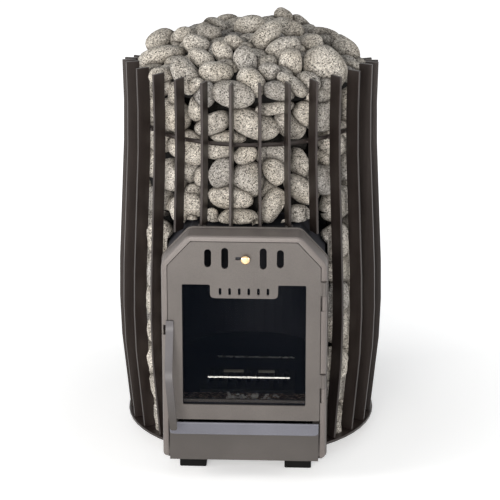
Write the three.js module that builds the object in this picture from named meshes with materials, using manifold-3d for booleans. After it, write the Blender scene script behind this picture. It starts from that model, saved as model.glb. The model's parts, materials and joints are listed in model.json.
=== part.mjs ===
// Sauna heater stove: a wood-burning firebox in a barrel-shaped cage of upright flat bars filled with stones.
// Millimetres, +Z up. The door faces -Y. The origin is on the floor, on the axis of the cage.

import * as THREE from 'three';
import { mergeVertices } from 'three/addons/utils/BufferGeometryUtils.js';
import Module from 'manifold-3d';

const wasm = await Module();
wasm.setup();

// Clearances
const SEAT_GAP = 0.3; // between pieces that touch
const DOOR_GAP = 1.2; // round the edge of the closed door
const STONE_GAP = 1.5; // between the stones and the steel round them

// Door: a panel with cut-off upper corners, folded back into a shallow pan
const DOOR_WIDTH = 288;
const DOOR_TOP_Z = 484;
const DOOR_BOTTOM_Z = 124.5;
const DOOR_CORNER_X = 44; // width and height of a cut-off corner
const DOOR_CORNER_Z = 48;
const DOOR_PLATE = 4;
const DOOR_DEPTH = 18;
const DOOR_RIM = 2.5;
const WINDOW_SIDE = 27; // steel beside, below and above the window
const WINDOW_SILL = 30.5;
const WINDOW_HEAD = 84.5;
const WINDOW_WIDTH = DOOR_WIDTH - 2 * WINDOW_SIDE;
const WINDOW_BOTTOM_Z = DOOR_BOTTOM_Z + WINDOW_SILL;
const WINDOW_TOP_Z = DOOR_TOP_Z - WINDOW_HEAD;
const WINDOW_CORNER = 3;
const TAB_WIDTH = 128; // plain tab hanging into the window
const TAB_HEIGHT = 27;
const TAB_CORNER = 9;
const TAB_SLOT_COUNT = 6;
const TAB_SLOT_PITCH = 18;
const TAB_SLOT_WIDTH = 5;
const TAB_SLOT_LENGTH = 14;

// Cage of bars: outer radius at four heights, joined by a smooth curve
const CAGE_MARGIN = 118.5; // from the door's edge to the belly of the bars, seen from the front
const DOOR_REACH = 43.5; // from the belly of the bars to the door's face
const FOOT_DRAW_IN = 18; // how far the bars come in from the belly
const WAIST_DRAW_IN = 14.3;
const TOP_DRAW_IN = 12.5;
const CAGE_ABOVE_DOOR = 286;
const WAIST_BELOW_TOP = 110;
const BELLY_ABOVE_SILL = 112;
const HOOP_BELOW_WAIST = 13;
const REAR_FALL = 0.18; // fall of the bars' tops towards the rear
const REAR_FALL_START = 83; // and how far before the axis it starts
const BAR_COUNT = 28;
const BAR_DEPTH = 26;
const BAR_THICKNESS = 5;
const BAR_STEPS = 9; // straight steps along a full bar's curve
const CAGE_BELLY_RADIUS = DOOR_WIDTH / 2 + CAGE_MARGIN;
const CAGE_FOOT_RADIUS = CAGE_BELLY_RADIUS - FOOT_DRAW_IN;
const CAGE_WAIST_RADIUS = CAGE_BELLY_RADIUS - WAIST_DRAW_IN;
const CAGE_TOP_RADIUS = CAGE_BELLY_RADIUS - TOP_DRAW_IN;
const CAGE_TOP_Z = DOOR_TOP_Z + CAGE_ABOVE_DOOR;
const CAGE_WAIST_Z = CAGE_TOP_Z - WAIST_BELOW_TOP;
const CAGE_BELLY_Z = DOOR_BOTTOM_Z + BELLY_ABOVE_SILL;
const HOOP_Z = CAGE_WAIST_Z - HOOP_BELOW_WAIST;
const HOOP_WIRE = 8; // diameter of the hoop's rod
const DOOR_FACE_Y = -(CAGE_BELLY_RADIUS + DOOR_REACH);

// Feet and base
const BASE_EDGE = 4; // base plate beyond the bars
const FOOT_INSET = 42; // foot middles in from the door's edges
const FRONT_FOOT_INSET = 20.5; // and in from the base plate's edge
const REAR_FOOT_INSET = 76.5;
const BASE_RADIUS = CAGE_FOOT_RADIUS + BASE_EDGE;
const FOOT_HEIGHT = 25;
const FOOT_WIDTH = 52;
const FOOT_LENGTH = 45;
const FOOT_EDGE = 2; // bevel on a foot
const FOOT_SPREAD = DOOR_WIDTH - 2 * FOOT_INSET; // between the middles of a left and a right foot
const FRONT_FOOT_Y = -(BASE_RADIUS - FRONT_FOOT_INSET);
const REAR_FOOT_Y = BASE_RADIUS - REAR_FOOT_INSET;
const BASE_THICKNESS = 5;
const BASE_SEGMENTS = 56;
const RUNNER_HEIGHT = 12; // runners under the ash drawer
const RUNNER_WIDTH = 24;
const RAIL_HEIGHT = 22; // guide rails beside it
const RAIL_THICKNESS = 4;

// Glass pack
const GLASS_THICKNESS = 4;
const GLASS_OVERLAP = 8; // beyond the window on each side
const GLASS_CORNER = 4;
const GASKET_THICKNESS = 2;
const GASKET_WIDTH = 6;
const RETAINER_THICKNESS = 2.5;
const RETAINER_WIDTH = 9;
const DOOR_SEAL_WIDTH = 8;
const DOOR_SEAL_THICKNESS = 3.4;

// Air inlet: slots in the door and a sliding plate behind them
const AIR_BELOW_TOP = 32;
const AIR_Z = DOOR_TOP_Z - AIR_BELOW_TOP;
const AIR_SLOT_WIDTH = 13;
const AIR_SLOT_X = [-68, -36, 36, 68];
const AIR_SLOT_LENGTH = [36, 42, 42, 36];
const AIR_TRAVEL = 16;
const AIR_PLATE_THICKNESS = 2.5;
const AIR_PLATE_EDGE = 7.5; // steel beside the outer slots
const AIR_PLATE_WIDTH = 2 * (Math.max(...AIR_SLOT_X) + AIR_SLOT_WIDTH / 2 + AIR_PLATE_EDGE);
const AIR_PLATE_HEIGHT = 50.6;
const AIR_GUIDE_THICKNESS = 3;
const AIR_GUIDE_LIP = 3.4; // how far a guide laps over the plate
const KNOB_X = 3;
const KNOB_RADIUS = 8.5;
const KNOB_LENGTH = 12;
const KNOB_NECK_RADIUS = 4.6;
const KNOB_STEM_RADIUS = 2.5;

// Hinges on the right edge
const HINGE_OFFSET = 7; // pin outside the door's edge
const HINGE_BELOW_TOP = 105;
const HINGE_ABOVE_SILL = 67.5;
const HINGE_X = DOOR_WIDTH / 2 + HINGE_OFFSET;
const HINGE_BARREL_RADIUS = 4;
const HINGE_PIN_RADIUS = 2.4;
const HINGE_HEIGHT = 56; // both knuckles
const HINGE_UPPER_Z = DOOR_TOP_Z - HINGE_BELOW_TOP; // middle height of each hinge
const HINGE_LOWER_Z = DOOR_BOTTOM_Z + HINGE_ABOVE_SILL;
const HINGE_NOTCH = 2; // room above and below the knuckles
const HINGE_LEAF = 3;

// Handle: a flat strip, fixed at its top, that stands off the door
const HANDLE_WIDTH = 14.5;
const HANDLE_THICKNESS = 5;
const HANDLE_RISE = 202.5; // top, bend and lower end against the door's foot
const HANDLE_BEND_RISE = 107.5;
const HANDLE_DROP = 2;
const HANDLE_INSET = 3.5;
const HANDLE_TOP_Z = DOOR_BOTTOM_Z + HANDLE_RISE;
const HANDLE_BEND_Z = DOOR_BOTTOM_Z + HANDLE_BEND_RISE;
const HANDLE_BOTTOM_Z = DOOR_BOTTOM_Z - HANDLE_DROP;
const HANDLE_STAND_OFF = 46;
const HANDLE_FLAT = 14; // length of the foot that lies on the door
const HANDLE_X = HANDLE_INSET - DOOR_WIDTH / 2;
const HANDLE_LEAN = 9; // sideways shift of the lower end

// Catch on the left edge
const CATCH_RISE = 182.5;
const CATCH_Z = DOOR_BOTTOM_Z + CATCH_RISE;
const CATCH_HEIGHT = 14;
const CATCH_NOTCH = 20;
const CATCH_SPRING = 1; // thickness of the leaf
const CATCH_NOSE = 3;

// Collar round the door, with a rounded front edge
const COLLAR_MARGIN = 12;
const COLLAR_WALL = 3;
const COLLAR_BEND = 6;
const COLLAR_CORNER = 8;
const COLLAR_LEG = 78.5; // length of the legs below the door
const COLLAR_BOTTOM_Z = DOOR_BOTTOM_Z - COLLAR_LEG;
const COLLAR_DEPTH = 47.0;
const SEAT_FLANGE = 16; // inner flange that the door seal meets
const SEAT_THICKNESS = 3;

// Firebox
const PLATE_MARGIN = 14; // front plate beyond the door's outline
const PLATE_THICKNESS = 5;
const THROAT_MARGIN = 6;
const THROAT_WALL = 4;
const STONE_SPACE = 97.5; // from the firebox to the outside of the bars
const FIREBOX_ABOVE_DOOR = 76;
const FLOOR_ABOVE_SILL = 0.5;
const FIREBOX_RADIUS = CAGE_BELLY_RADIUS - STONE_SPACE;
const FIREBOX_WALL = 5;
const FIREBOX_TOP_Z = DOOR_TOP_Z + FIREBOX_ABOVE_DOOR;
const FIREBOX_SEGMENTS = 48;
const FLOOR_TOP_Z = DOOR_BOTTOM_Z + FLOOR_ABOVE_SILL;
const FLOOR_THICKNESS = 8;
const GRATE_INSET = 51; // grate in from the door's edges
const GRATE_WIDTH = DOOR_WIDTH - 2 * GRATE_INSET;
const GRATE_LENGTH = 112;
const GRATE_SETBACK = 48;
const GRATE_Y = GRATE_SETBACK - FIREBOX_RADIUS;
const GRATE_THICKNESS = 12;
const GRATE_LEDGE = 7;
const GRATE_LEDGE_THICKNESS = 2;
const GRATE_SLOT_COUNT = 9;
const GRATE_SLOT_WIDTH = 9;
const GRATE_BORDER = 10;
const BAFFLE_THICKNESS = 6;
const BAFFLE_FRONT_Y = -FIREBOX_RADIUS / 4;
const LUG_SIZE = 10;

// Flue outlet at the back
const FLUE_RADIUS = 60;
const FLUE_WALL = 2.5;
const FLUE_BELOW_TOP = 4; // flue axis under the top of the door
const BAFFLE_BELOW_FLUE = 76;
const FLUE_REACH_IN = 30;
const FLUE_BEAD_SETBACK = 22;
const FLUE_Z = DOOR_TOP_Z - FLUE_BELOW_TOP;
const BAFFLE_Z = FLUE_Z - BAFFLE_BELOW_FLUE; // the smoke passes over the baffle to the flue
const FLUE_INNER_Y = FIREBOX_RADIUS - FLUE_REACH_IN;
// As far back as the handle is forward
const FLUE_END_Y = HANDLE_STAND_OFF + HANDLE_THICKNESS + SEAT_GAP - DOOR_FACE_Y;
const FLUE_BEAD = 2;
const FLUE_BEAD_Y = FLUE_END_Y - FLUE_BEAD_SETBACK;
const FLUE_SEGMENTS = 32;
const FLUE_BAR_GAP = 5;

// Ash drawer
const DRAWER_SIDE_GAP = 2.7; // between the drawer's front and the collar
const DRAWER_TOP_GAP = 5.5;
const DRAWER_PROUD = 3; // front of the drawer before the door's face
const DRAWER_BELOW_COLLAR = 4;
const DRAWER_FRONT_WIDTH = DOOR_WIDTH + 2 * DOOR_GAP - 2 * DRAWER_SIDE_GAP;
const DRAWER_FRONT_PLATE = 3;
const DRAWER_FRONT_Y = DOOR_FACE_Y - DRAWER_PROUD;
const DRAWER_FRONT_BOTTOM_Z = COLLAR_BOTTOM_Z - DRAWER_BELOW_COLLAR;
const DRAWER_FRONT_TOP_Z = DOOR_BOTTOM_Z - DRAWER_TOP_GAP;
const LIP_LENGTH = 24; // sloping pull lip along the top of the front
const LIP_THICKNESS = 2.5;
const LIP_ANGLE = 45; // degrees below level
const LIP_CORNER = 10;
const TRAY_INSET = 26; // tray in from the door's edges
const TRAY_BEHIND_AXIS = 79;
const TRAY_HEADROOM = 16;
const TRAY_WIDTH = DOOR_WIDTH - 2 * TRAY_INSET;
const TRAY_LENGTH = TRAY_BEHIND_AXIS - DOOR_FACE_Y;
const TRAY_WALL = 2;
const DRAWER_OPENING_EDGE = 12; // room beside and above the tray
const DRAWER_OPENING_WIDTH = TRAY_WIDTH + 2 * DRAWER_OPENING_EDGE;
const DRAWER_OPENING_TOP_Z = DOOR_BOTTOM_Z - DRAWER_OPENING_EDGE;

// Stones: beds that fill the cage, each one heap of pebbles
const BED_SPLIT_ANGLES = [45, 135, 225, 315]; // degrees from the front, each behind a bar
const BED_BELOW_TOP = 50; // top of the beds under the tops of the bars
const CROWN_RISE = 29;
const CROWN_INSET = 15.7;
const BED_TOP_Z = CAGE_TOP_Z - BED_BELOW_TOP;
const STONE_BULGE = 16; // how far the stones stand out of the heap's core
const STONE_SPREAD = 80; // between neighbours round the cage
const STONE_COURSE = 64; // between courses
const STONE_RADIAL = 26; // half sizes of a typical stone
const STONE_ROUND = 43;
const STONE_TALL = 35;
const CROWN_Z = CAGE_TOP_Z + CROWN_RISE; // top of the crown's core
const CROWN_RADIUS = CAGE_WAIST_RADIUS - BAR_DEPTH - CROWN_INSET;
const CROWN_FALL = 50; // of the core's dome towards the cage
const CROWN_LEAN = 19; // degrees that the stones seen on the crown lean back
// Stones seen on the crown: middle x and y, height over the bars, length, width and tilt in degrees
const CROWN_STONES = [
  [60, 115, 45, 40, 30, -35], [95, 120, 25, 50, 30, -45], [35, 115, 35, 30, 20, 10],
  [-50, 115, 35, 45, 25, 0], [70, 40, 35, 65, 45, -20], [-70, 65, 35, 55, 30, -25],
  [140, 60, 20, 65, 30, -10], [-130, 25, 25, 45, 35, 0], [-5, 35, 40, 65, 50, 15],
  [-180, 60, 5, 65, 45, 25], [-80, -5, 35, 50, 40, -10], [115, -20, 25, 50, 35, 10],
  [-30, -65, 35, 40, 30, -20], [185, 15, 0, 60, 45, -42], [-100, -50, 25, 60, 40, -30],
  [25, -50, 35, 100, 45, 50], [65, -80, 25, 70, 50, 25], [-170, -45, 0, 90, 45, 14],
  [-50, -100, 25, 50, 35, -58], [-90, -110, 15, 55, 35, -25], [-5, -130, 15, 60, 45, -75],
  [80, -125, 10, 60, 45, 82], [200, -60, -10, 35, 20, -15], [145, -105, -5, 90, 80, -60],
  [40, -165, 5, 45, 35, 0], [-60, -155, 0, 65, 45, -5], [-115, -150, -10, 85, 50, -55],
  [-165, -130, -15, 50, 35, 0], [10, -185, -10, 65, 45, -50], [85, -180, -15, 70, 30, -35],
];
const CROWN_LIST_RADIUS = 206.5; // crown radius that the stones' places are for
const CROWN_REAR_RINGS = [[105, 4], [150, 7], [190, 10]]; // radius and count of the stones behind those
const CROWN_REAR_ARC = 150; // degrees of each ring
const CROWN_REAR_STONE = [24, 34, 27]; // half sizes

// Heights and planes that follow from the sizes above
const BASE_BOTTOM_Z = FOOT_HEIGHT + SEAT_GAP;
const BASE_TOP_Z = BASE_BOTTOM_Z + BASE_THICKNESS;
const STAND_Z = BASE_TOP_Z + SEAT_GAP;
const DOOR_BACK_Y = DOOR_FACE_Y + DOOR_PLATE;
const COLLAR_BACK_Y = DOOR_FACE_Y + COLLAR_DEPTH;
const PLATE_FRONT_Y = COLLAR_BACK_Y + SEAT_GAP;
const PLATE_BACK_Y = PLATE_FRONT_Y + PLATE_THICKNESS;
const THROAT_FRONT_Y = PLATE_BACK_Y + SEAT_GAP;
const FLOOR_BOTTOM_Z = FLOOR_TOP_Z - FLOOR_THICKNESS;
const TRAY_LOW_Z = BASE_TOP_Z + RUNNER_HEIGHT + SEAT_GAP;
const TRAY_HEIGHT = DOOR_BOTTOM_Z - TRAY_HEADROOM - TRAY_LOW_Z;
const RIM_BACK_Y = DOOR_FACE_Y + DOOR_DEPTH;
const SEAL_FRONT_Y = RIM_BACK_Y + SEAT_GAP;
const SEAT_FRONT_Y = SEAL_FRONT_Y + DOOR_SEAL_THICKNESS + SEAT_GAP;
const GASKET_FRONT_Y = DOOR_BACK_Y + SEAT_GAP;
const GLASS_FRONT_Y = GASKET_FRONT_Y + GASKET_THICKNESS + SEAT_GAP;
const RETAINER_FRONT_Y = GLASS_FRONT_Y + GLASS_THICKNESS + SEAT_GAP;
const HOOP_RADIUS = CAGE_WAIST_RADIUS - BAR_DEPTH - SEAT_GAP - HOOP_WIRE / 2;

const cageCurve = new THREE.CubicInterpolant(
  [STAND_Z, CAGE_BELLY_Z, CAGE_WAIST_Z, CAGE_TOP_Z],
  [CAGE_FOOT_RADIUS, CAGE_BELLY_RADIUS, CAGE_WAIST_RADIUS, CAGE_TOP_RADIUS],
  1,
);

function cageRadius(z) {
  return cageCurve.evaluate(z)[0];
}

// Materials
function finish(color, roughness, metalness) {
  return new THREE.MeshStandardMaterial({ color, roughness, metalness });
}

const BAR_STEEL = finish('#2c2725', 0.6, 0.35);
const GREY_PAINT = finish('#857c78', 0.55, 0.3);
const FIREBOX_STEEL = finish('#262425', 0.75, 0.3);
const BRIGHT_STEEL = finish('#b9b4ac', 0.3, 0.9);
const CAST_IRON = finish('#2e2d2f', 0.8, 0.4);
const FOOT_BLACK = finish('#151515', 0.8, 0.1);
const CERAMIC_GLASS = finish('#10131c', 0.08, 0);
const ROPE_SEAL = finish('#4b4947', 0.95, 0);
const GRANITE = finish('#a29d94', 0.9, 0);

// Solids for cutting and joining
function solid(geometry) {
  const bare = geometry.clone();
  bare.deleteAttribute('normal');
  bare.deleteAttribute('uv');
  const merged = mergeVertices(bare);
  const mesh = new wasm.Mesh({
    numProp: 3,
    vertProperties: new Float32Array(merged.attributes.position.array),
    triVerts: new Uint32Array(merged.index.array),
  });
  return new wasm.Manifold(mesh);
}

function join(...geometries) {
  return geometries.map(solid).reduce((whole, piece) => whole.add(piece));
}

function cut(whole, ...geometries) {
  return geometries.map(solid).reduce((rest, piece) => rest.subtract(piece), whole);
}

function geometryOf(body) {
  const mesh = body.getMesh();
  const geometry = new THREE.BufferGeometry();
  geometry.setAttribute('position', new THREE.BufferAttribute(new Float32Array(mesh.vertProperties), 3));
  geometry.setIndex(new THREE.BufferAttribute(new Uint32Array(mesh.triVerts), 1));
  geometry.computeVertexNormals();
  return geometry;
}

// Outlines and simple forms
function outline(points, radius = 0) {
  const shape = new THREE.Shape();
  const count = points.length;
  points.forEach(([x, z], i) => {
    const corner = new THREE.Vector2(x, z);
    const before = new THREE.Vector2(...points[(i + count - 1) % count]);
    const after = new THREE.Vector2(...points[(i + 1) % count]);
    const size = Array.isArray(radius) ? radius[i] : radius;
    const start = corner.clone().add(before.sub(corner).setLength(size));
    const end = corner.clone().add(after.sub(corner).setLength(size));
    if (i === 0) {
      shape.moveTo(start.x, start.y);
    } else {
      shape.lineTo(start.x, start.y);
    }
    if (size > 0) {
      shape.quadraticCurveTo(corner.x, corner.y, end.x, end.y);
    }
  });
  shape.closePath();
  return shape;
}

function rectangle(left, right, bottom, top, radius = 0) {
  return outline([[left, bottom], [right, bottom], [right, top], [left, top]], radius);
}

function slot(x, z, width, length) {
  const radius = width / 2;
  const reach = length / 2 - radius;
  const shape = new THREE.Shape();
  shape.absarc(x, z - reach, radius, Math.PI, 2 * Math.PI);
  shape.absarc(x, z + reach, radius, 0, Math.PI);
  shape.closePath();
  return shape;
}

// The door's outline grown by a margin, with its foot at a given height
function doorOutline(grow, bottomZ = DOOR_BOTTOM_Z - grow) {
  const slope = Math.hypot(DOOR_CORNER_X, DOOR_CORNER_Z);
  const half = DOOR_WIDTH / 2 + grow;
  const topHalf = DOOR_WIDTH / 2 - DOOR_CORNER_X + grow * (slope - DOOR_CORNER_X) / DOOR_CORNER_Z;
  const shoulderZ = DOOR_TOP_Z - DOOR_CORNER_Z + grow * (slope - DOOR_CORNER_Z) / DOOR_CORNER_X;
  const topZ = DOOR_TOP_Z + grow;
  return [
    [-half, bottomZ], [half, bottomZ], [half, shoulderZ],
    [topHalf, topZ], [-topHalf, topZ], [-half, shoulderZ],
  ];
}

// An upright plate: an outline in X and Z between two planes of Y
function plate(shape, frontY, backY, curveSegments = 3) {
  const depth = backY - frontY;
  const geometry = new THREE.ExtrudeGeometry(shape, { depth, bevelEnabled: false, curveSegments });
  return geometry.rotateX(Math.PI / 2).translate(0, backY, 0);
}

function ringPlate(outer, inner, frontY, backY, radius = 0) {
  const shape = outline(outer, radius);
  shape.holes.push(outline(inner, radius));
  return plate(shape, frontY, backY, 3);
}

// A flat slab: an outline in X and Y between two heights
function slab(shape, lowZ, highZ, curveSegments = 12) {
  const depth = highZ - lowZ;
  const geometry = new THREE.ExtrudeGeometry(shape, { depth, bevelEnabled: false, curveSegments });
  return geometry.translate(0, 0, lowZ);
}

function block(left, right, frontY, backY, lowZ, highZ) {
  const geometry = new THREE.BoxGeometry(right - left, backY - frontY, highZ - lowZ);
  return geometry.translate((left + right) / 2, (frontY + backY) / 2, (lowZ + highZ) / 2);
}

function uprightCylinder(radius, lowZ, highZ, segments, x = 0, y = 0) {
  const geometry = new THREE.CylinderGeometry(radius, radius, highZ - lowZ, segments);
  return geometry.rotateX(Math.PI / 2).translate(x, y, (lowZ + highZ) / 2);
}

function levelCylinder(radius, frontY, backY, segments, x, z) {
  const geometry = new THREE.CylinderGeometry(radius, radius, backY - frontY, segments);
  return geometry.translate(x, (frontY + backY) / 2, z);
}

// A turned form about a level axis along Y, from [radius, y] points
function turnedAlongY(points, segments, x, z) {
  const profile = points.map(([radius, y]) => new THREE.Vector2(radius, y));
  return new THREE.LatheGeometry(profile, segments).translate(x, 0, z);
}

// A turned form about the cage's axis, from [radius, z] points
function turnedAlongZ(points, segments) {
  const profile = points.map(([radius, z]) => new THREE.Vector2(radius, z));
  return new THREE.LatheGeometry(profile, segments).rotateX(Math.PI / 2);
}

// Base plate with the ash drawer's guide rails, and the feet
function basePlate() {
  const disc = uprightCylinder(BASE_RADIUS, BASE_BOTTOM_Z, BASE_TOP_Z, BASE_SEGMENTS);
  const tongueHalf = DOOR_WIDTH / 2 + THROAT_MARGIN;
  const tongueBack = FRONT_FOOT_Y + FOOT_LENGTH;
  const tongue = block(-tongueHalf, tongueHalf, PLATE_FRONT_Y, tongueBack, BASE_BOTTOM_Z, BASE_TOP_Z);
  const railX = TRAY_WIDTH / 2 + 2 * SEAT_GAP;
  const railOuterX = railX + RAIL_THICKNESS;
  const railBack = Math.sqrt((FIREBOX_RADIUS - FIREBOX_WALL) ** 2 - railOuterX ** 2) - FIREBOX_WALL;
  const rails = [-1, 1].flatMap((side) => {
    const across = (a, b) => [Math.min(side * a, side * b), Math.max(side * a, side * b)];
    const far = railX + RAIL_THICKNESS;
    const runner = across(railX - RUNNER_WIDTH, far);
    return [
      block(...runner, THROAT_FRONT_Y, railBack, BASE_BOTTOM_Z, BASE_TOP_Z + RUNNER_HEIGHT),
      block(...across(railX, far), THROAT_FRONT_Y, railBack, BASE_BOTTOM_Z, BASE_TOP_Z + RAIL_HEIGHT),
    ];
  });
  return geometryOf(join(disc, tongue, ...rails));
}

function footBlock() {
  const half = FOOT_WIDTH / 2 - FOOT_EDGE;
  const reach = FOOT_LENGTH / 2 - FOOT_EDGE;
  const geometry = new THREE.ExtrudeGeometry(rectangle(-half, half, -reach, reach), {
    depth: FOOT_HEIGHT - 2 * FOOT_EDGE,
    bevelEnabled: true,
    bevelSize: FOOT_EDGE,
    bevelThickness: FOOT_EDGE,
    bevelSegments: 1,
  });
  return geometry.translate(0, 0, FOOT_EDGE);
}

// Cage bars
function barBlank(lowZ, highZ) {
  const steps = Math.max(2, Math.round(BAR_STEPS * (highZ - lowZ) / (CAGE_TOP_Z - STAND_Z)));
  const heights = Array.from({ length: steps + 1 }, (_, i) => lowZ + (highZ - lowZ) * i / steps);
  const outer = heights.map((z) => [cageRadius(z), z]);
  const inner = heights.map((z) => [cageRadius(z) - BAR_DEPTH, z]).reverse();
  return plate(outline([...outer, ...inner]), -BAR_THICKNESS / 2, BAR_THICKNESS / 2);
}

// Height of the throat's roof over a place across the stove
function throatRoofZ(x) {
  const [, , [half, shoulderZ], [topHalf, topZ]] = doorOutline(THROAT_MARGIN);
  const share = THREE.MathUtils.clamp((Math.abs(x) - topHalf) / (half - topHalf), 0, 1);
  return topZ + (shoulderZ - topZ) * share;
}

function barTopZ(angle) {
  const y = -CAGE_TOP_RADIUS * Math.cos(angle);
  return CAGE_TOP_Z - REAR_FALL * Math.max(0, y + REAR_FALL_START);
}

function cageBars() {
  const group = new THREE.Group();
  const throatHalf = DOOR_WIDTH / 2 + THROAT_MARGIN;
  const flueReach = FLUE_RADIUS + FLUE_BAR_GAP;
  const shapes = new Map();
  const addBar = (name, angle, lowZ, highZ) => {
    const key = `${lowZ} ${highZ}`;
    if (!shapes.has(key)) {
      shapes.set(key, barBlank(lowZ, highZ));
    }
    const bar = new THREE.Mesh(shapes.get(key), BAR_STEEL);
    bar.name = name;
    bar.rotation.z = angle - Math.PI / 2;
    group.add(bar);
  };
  for (let i = 0; i < BAR_COUNT; i += 1) {
    const angle = 2 * Math.PI * (i + 0.5) / BAR_COUNT;
    const name = `cage_bar_${String(i + 1).padStart(2, '0')}`;
    const innerRadius = cageRadius(DOOR_TOP_Z) - BAR_DEPTH;
    const nearX = innerRadius * Math.abs(Math.sin(angle)) - BAR_THICKNESS / 2;
    const isFront = Math.cos(angle) > 0;
    const topZ = barTopZ(angle);
    if (isFront && nearX < throatHalf) {
      addBar(name, angle, throatRoofZ(nearX) + SEAT_GAP, topZ);
    } else if (!isFront && nearX < flueReach) {
      addBar(`${name}_lower`, angle, STAND_Z, FLUE_Z - flueReach);
      addBar(`${name}_upper`, angle, FLUE_Z + flueReach, topZ);
    } else {
      addBar(name, angle, STAND_Z, topZ);
    }
  }
  return group;
}

function cageHoop() {
  return new THREE.TorusGeometry(HOOP_RADIUS, HOOP_WIRE / 2, 6, 2 * BAR_COUNT).translate(0, 0, HOOP_Z);
}

// Firebox: a round shell with a throat that opens at the front, a floor over the ash space and a closed top
function throatForm(margin, bottomZ) {
  return plate(outline(doorOutline(margin, bottomZ)), THROAT_FRONT_Y, 0);
}

function fireboxShell() {
  const innerRadius = FIREBOX_RADIUS - FIREBOX_WALL;
  const innerMargin = THROAT_MARGIN - THROAT_WALL;
  const below = STAND_Z - FIREBOX_WALL;
  const shell = join(
    uprightCylinder(FIREBOX_RADIUS, STAND_Z, FIREBOX_TOP_Z, FIREBOX_SEGMENTS),
    throatForm(THROAT_MARGIN, STAND_Z),
  );
  const inside = join(
    uprightCylinder(innerRadius, below, FIREBOX_TOP_Z - FIREBOX_WALL, FIREBOX_SEGMENTS),
    throatForm(innerMargin, below),
    plate(
      outline(doorOutline(innerMargin, below)),
      THROAT_FRONT_Y - FIREBOX_WALL,
      THROAT_FRONT_Y + FIREBOX_WALL,
    ),
  );
  const widest = 2 * FIREBOX_RADIUS;
  const room = block(-widest, widest, -widest, widest, FLOOR_TOP_Z, FIREBOX_TOP_Z);
  const fireSpace = inside.intersect(solid(room));
  const ashSpace = inside.intersect(solid(block(-widest, widest, -widest, widest, below, FLOOR_BOTTOM_Z)));
  const grateHalf = GRATE_WIDTH / 2 + SEAT_GAP;
  const grateReach = GRATE_LENGTH / 2 + SEAT_GAP;
  const ledgeZ = FLOOR_BOTTOM_Z + GRATE_LEDGE_THICKNESS;
  const grateSeat = block(
    -grateHalf, grateHalf, GRATE_Y - grateReach, GRATE_Y + grateReach, ledgeZ, FLOOR_TOP_Z + FLOOR_THICKNESS,
  );
  const grateDrop = block(
    GRATE_LEDGE - grateHalf, grateHalf - GRATE_LEDGE, GRATE_Y - grateReach + GRATE_LEDGE,
    GRATE_Y + grateReach - GRATE_LEDGE, FLOOR_BOTTOM_Z - FLOOR_THICKNESS, ledgeZ + GRATE_LEDGE_THICKNESS,
  );
  const flueFront = FLUE_INNER_Y - FLUE_RADIUS;
  const flueBack = FIREBOX_RADIUS + FLUE_RADIUS;
  const flueHole = levelCylinder(FLUE_RADIUS + SEAT_GAP, flueFront, flueBack, FLUE_SEGMENTS, 0, FLUE_Z);
  const hollow = shell.subtract(fireSpace).subtract(ashSpace);
  const open = cut(hollow, grateSeat, grateDrop, flueHole);
  const lugZ = BAFFLE_Z - SEAT_GAP;
  const lugs = [-1, 0, 1].map((side) => {
    const angle = side * Math.PI / 3;
    const lug = block(-LUG_SIZE, LUG_SIZE, innerRadius - LUG_SIZE, FIREBOX_RADIUS - 1, lugZ - LUG_SIZE, lugZ);
    return lug.rotateZ(angle);
  });
  return geometryOf(open.add(join(...lugs)));
}

function frontPlate() {
  const shape = outline(doorOutline(PLATE_MARGIN, STAND_Z), COLLAR_CORNER);
  shape.holes.push(outline(doorOutline(-SEAT_FLANGE)));
  const drawerHalf = DRAWER_OPENING_WIDTH / 2;
  shape.holes.push(rectangle(-drawerHalf, drawerHalf, TRAY_LOW_Z - 2 * TRAY_WALL, DRAWER_OPENING_TOP_Z));
  return plate(shape, PLATE_FRONT_Y, PLATE_BACK_Y, 3);
}

function fireGrate() {
  const half = GRATE_WIDTH / 2;
  const reach = GRATE_LENGTH / 2;
  const shape = rectangle(-half, half, GRATE_Y - reach, GRATE_Y + reach);
  const pitch = (GRATE_WIDTH - 2 * GRATE_BORDER) / GRATE_SLOT_COUNT;
  const slotLength = GRATE_LENGTH - 2 * GRATE_BORDER;
  for (let i = 0; i < GRATE_SLOT_COUNT; i += 1) {
    shape.holes.push(slot(GRATE_BORDER - half + pitch * (i + 0.5), GRATE_Y, GRATE_SLOT_WIDTH, slotLength));
  }
  const lowZ = FLOOR_BOTTOM_Z + GRATE_LEDGE_THICKNESS + SEAT_GAP;
  return slab(shape, lowZ, lowZ + GRATE_THICKNESS, 3);
}

function flameBaffle() {
  const radius = FIREBOX_RADIUS - FIREBOX_WALL - 3 * SEAT_GAP;
  const start = Math.asin(BAFFLE_FRONT_Y / radius);
  const shape = new THREE.Shape();
  shape.absarc(0, 0, radius, start, Math.PI - start);
  shape.closePath();
  return slab(shape, BAFFLE_Z, BAFFLE_Z + BAFFLE_THICKNESS, 28);
}

function flueSpigot() {
  const outer = FLUE_RADIUS;
  const inner = FLUE_RADIUS - FLUE_WALL;
  const bead = FLUE_RADIUS + FLUE_BEAD;
  const beadHalf = 2 * FLUE_BEAD;
  const points = [
    [inner, FLUE_INNER_Y], [outer, FLUE_INNER_Y],
    [outer, FLUE_BEAD_Y - beadHalf], [bead, FLUE_BEAD_Y - FLUE_BEAD],
    [bead, FLUE_BEAD_Y + FLUE_BEAD], [outer, FLUE_BEAD_Y + beadHalf],
    [outer, FLUE_END_Y], [inner, FLUE_END_Y],
    [inner, FLUE_INNER_Y],
  ];
  return turnedAlongY(points, FLUE_SEGMENTS, 0, FLUE_Z);
}

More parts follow.
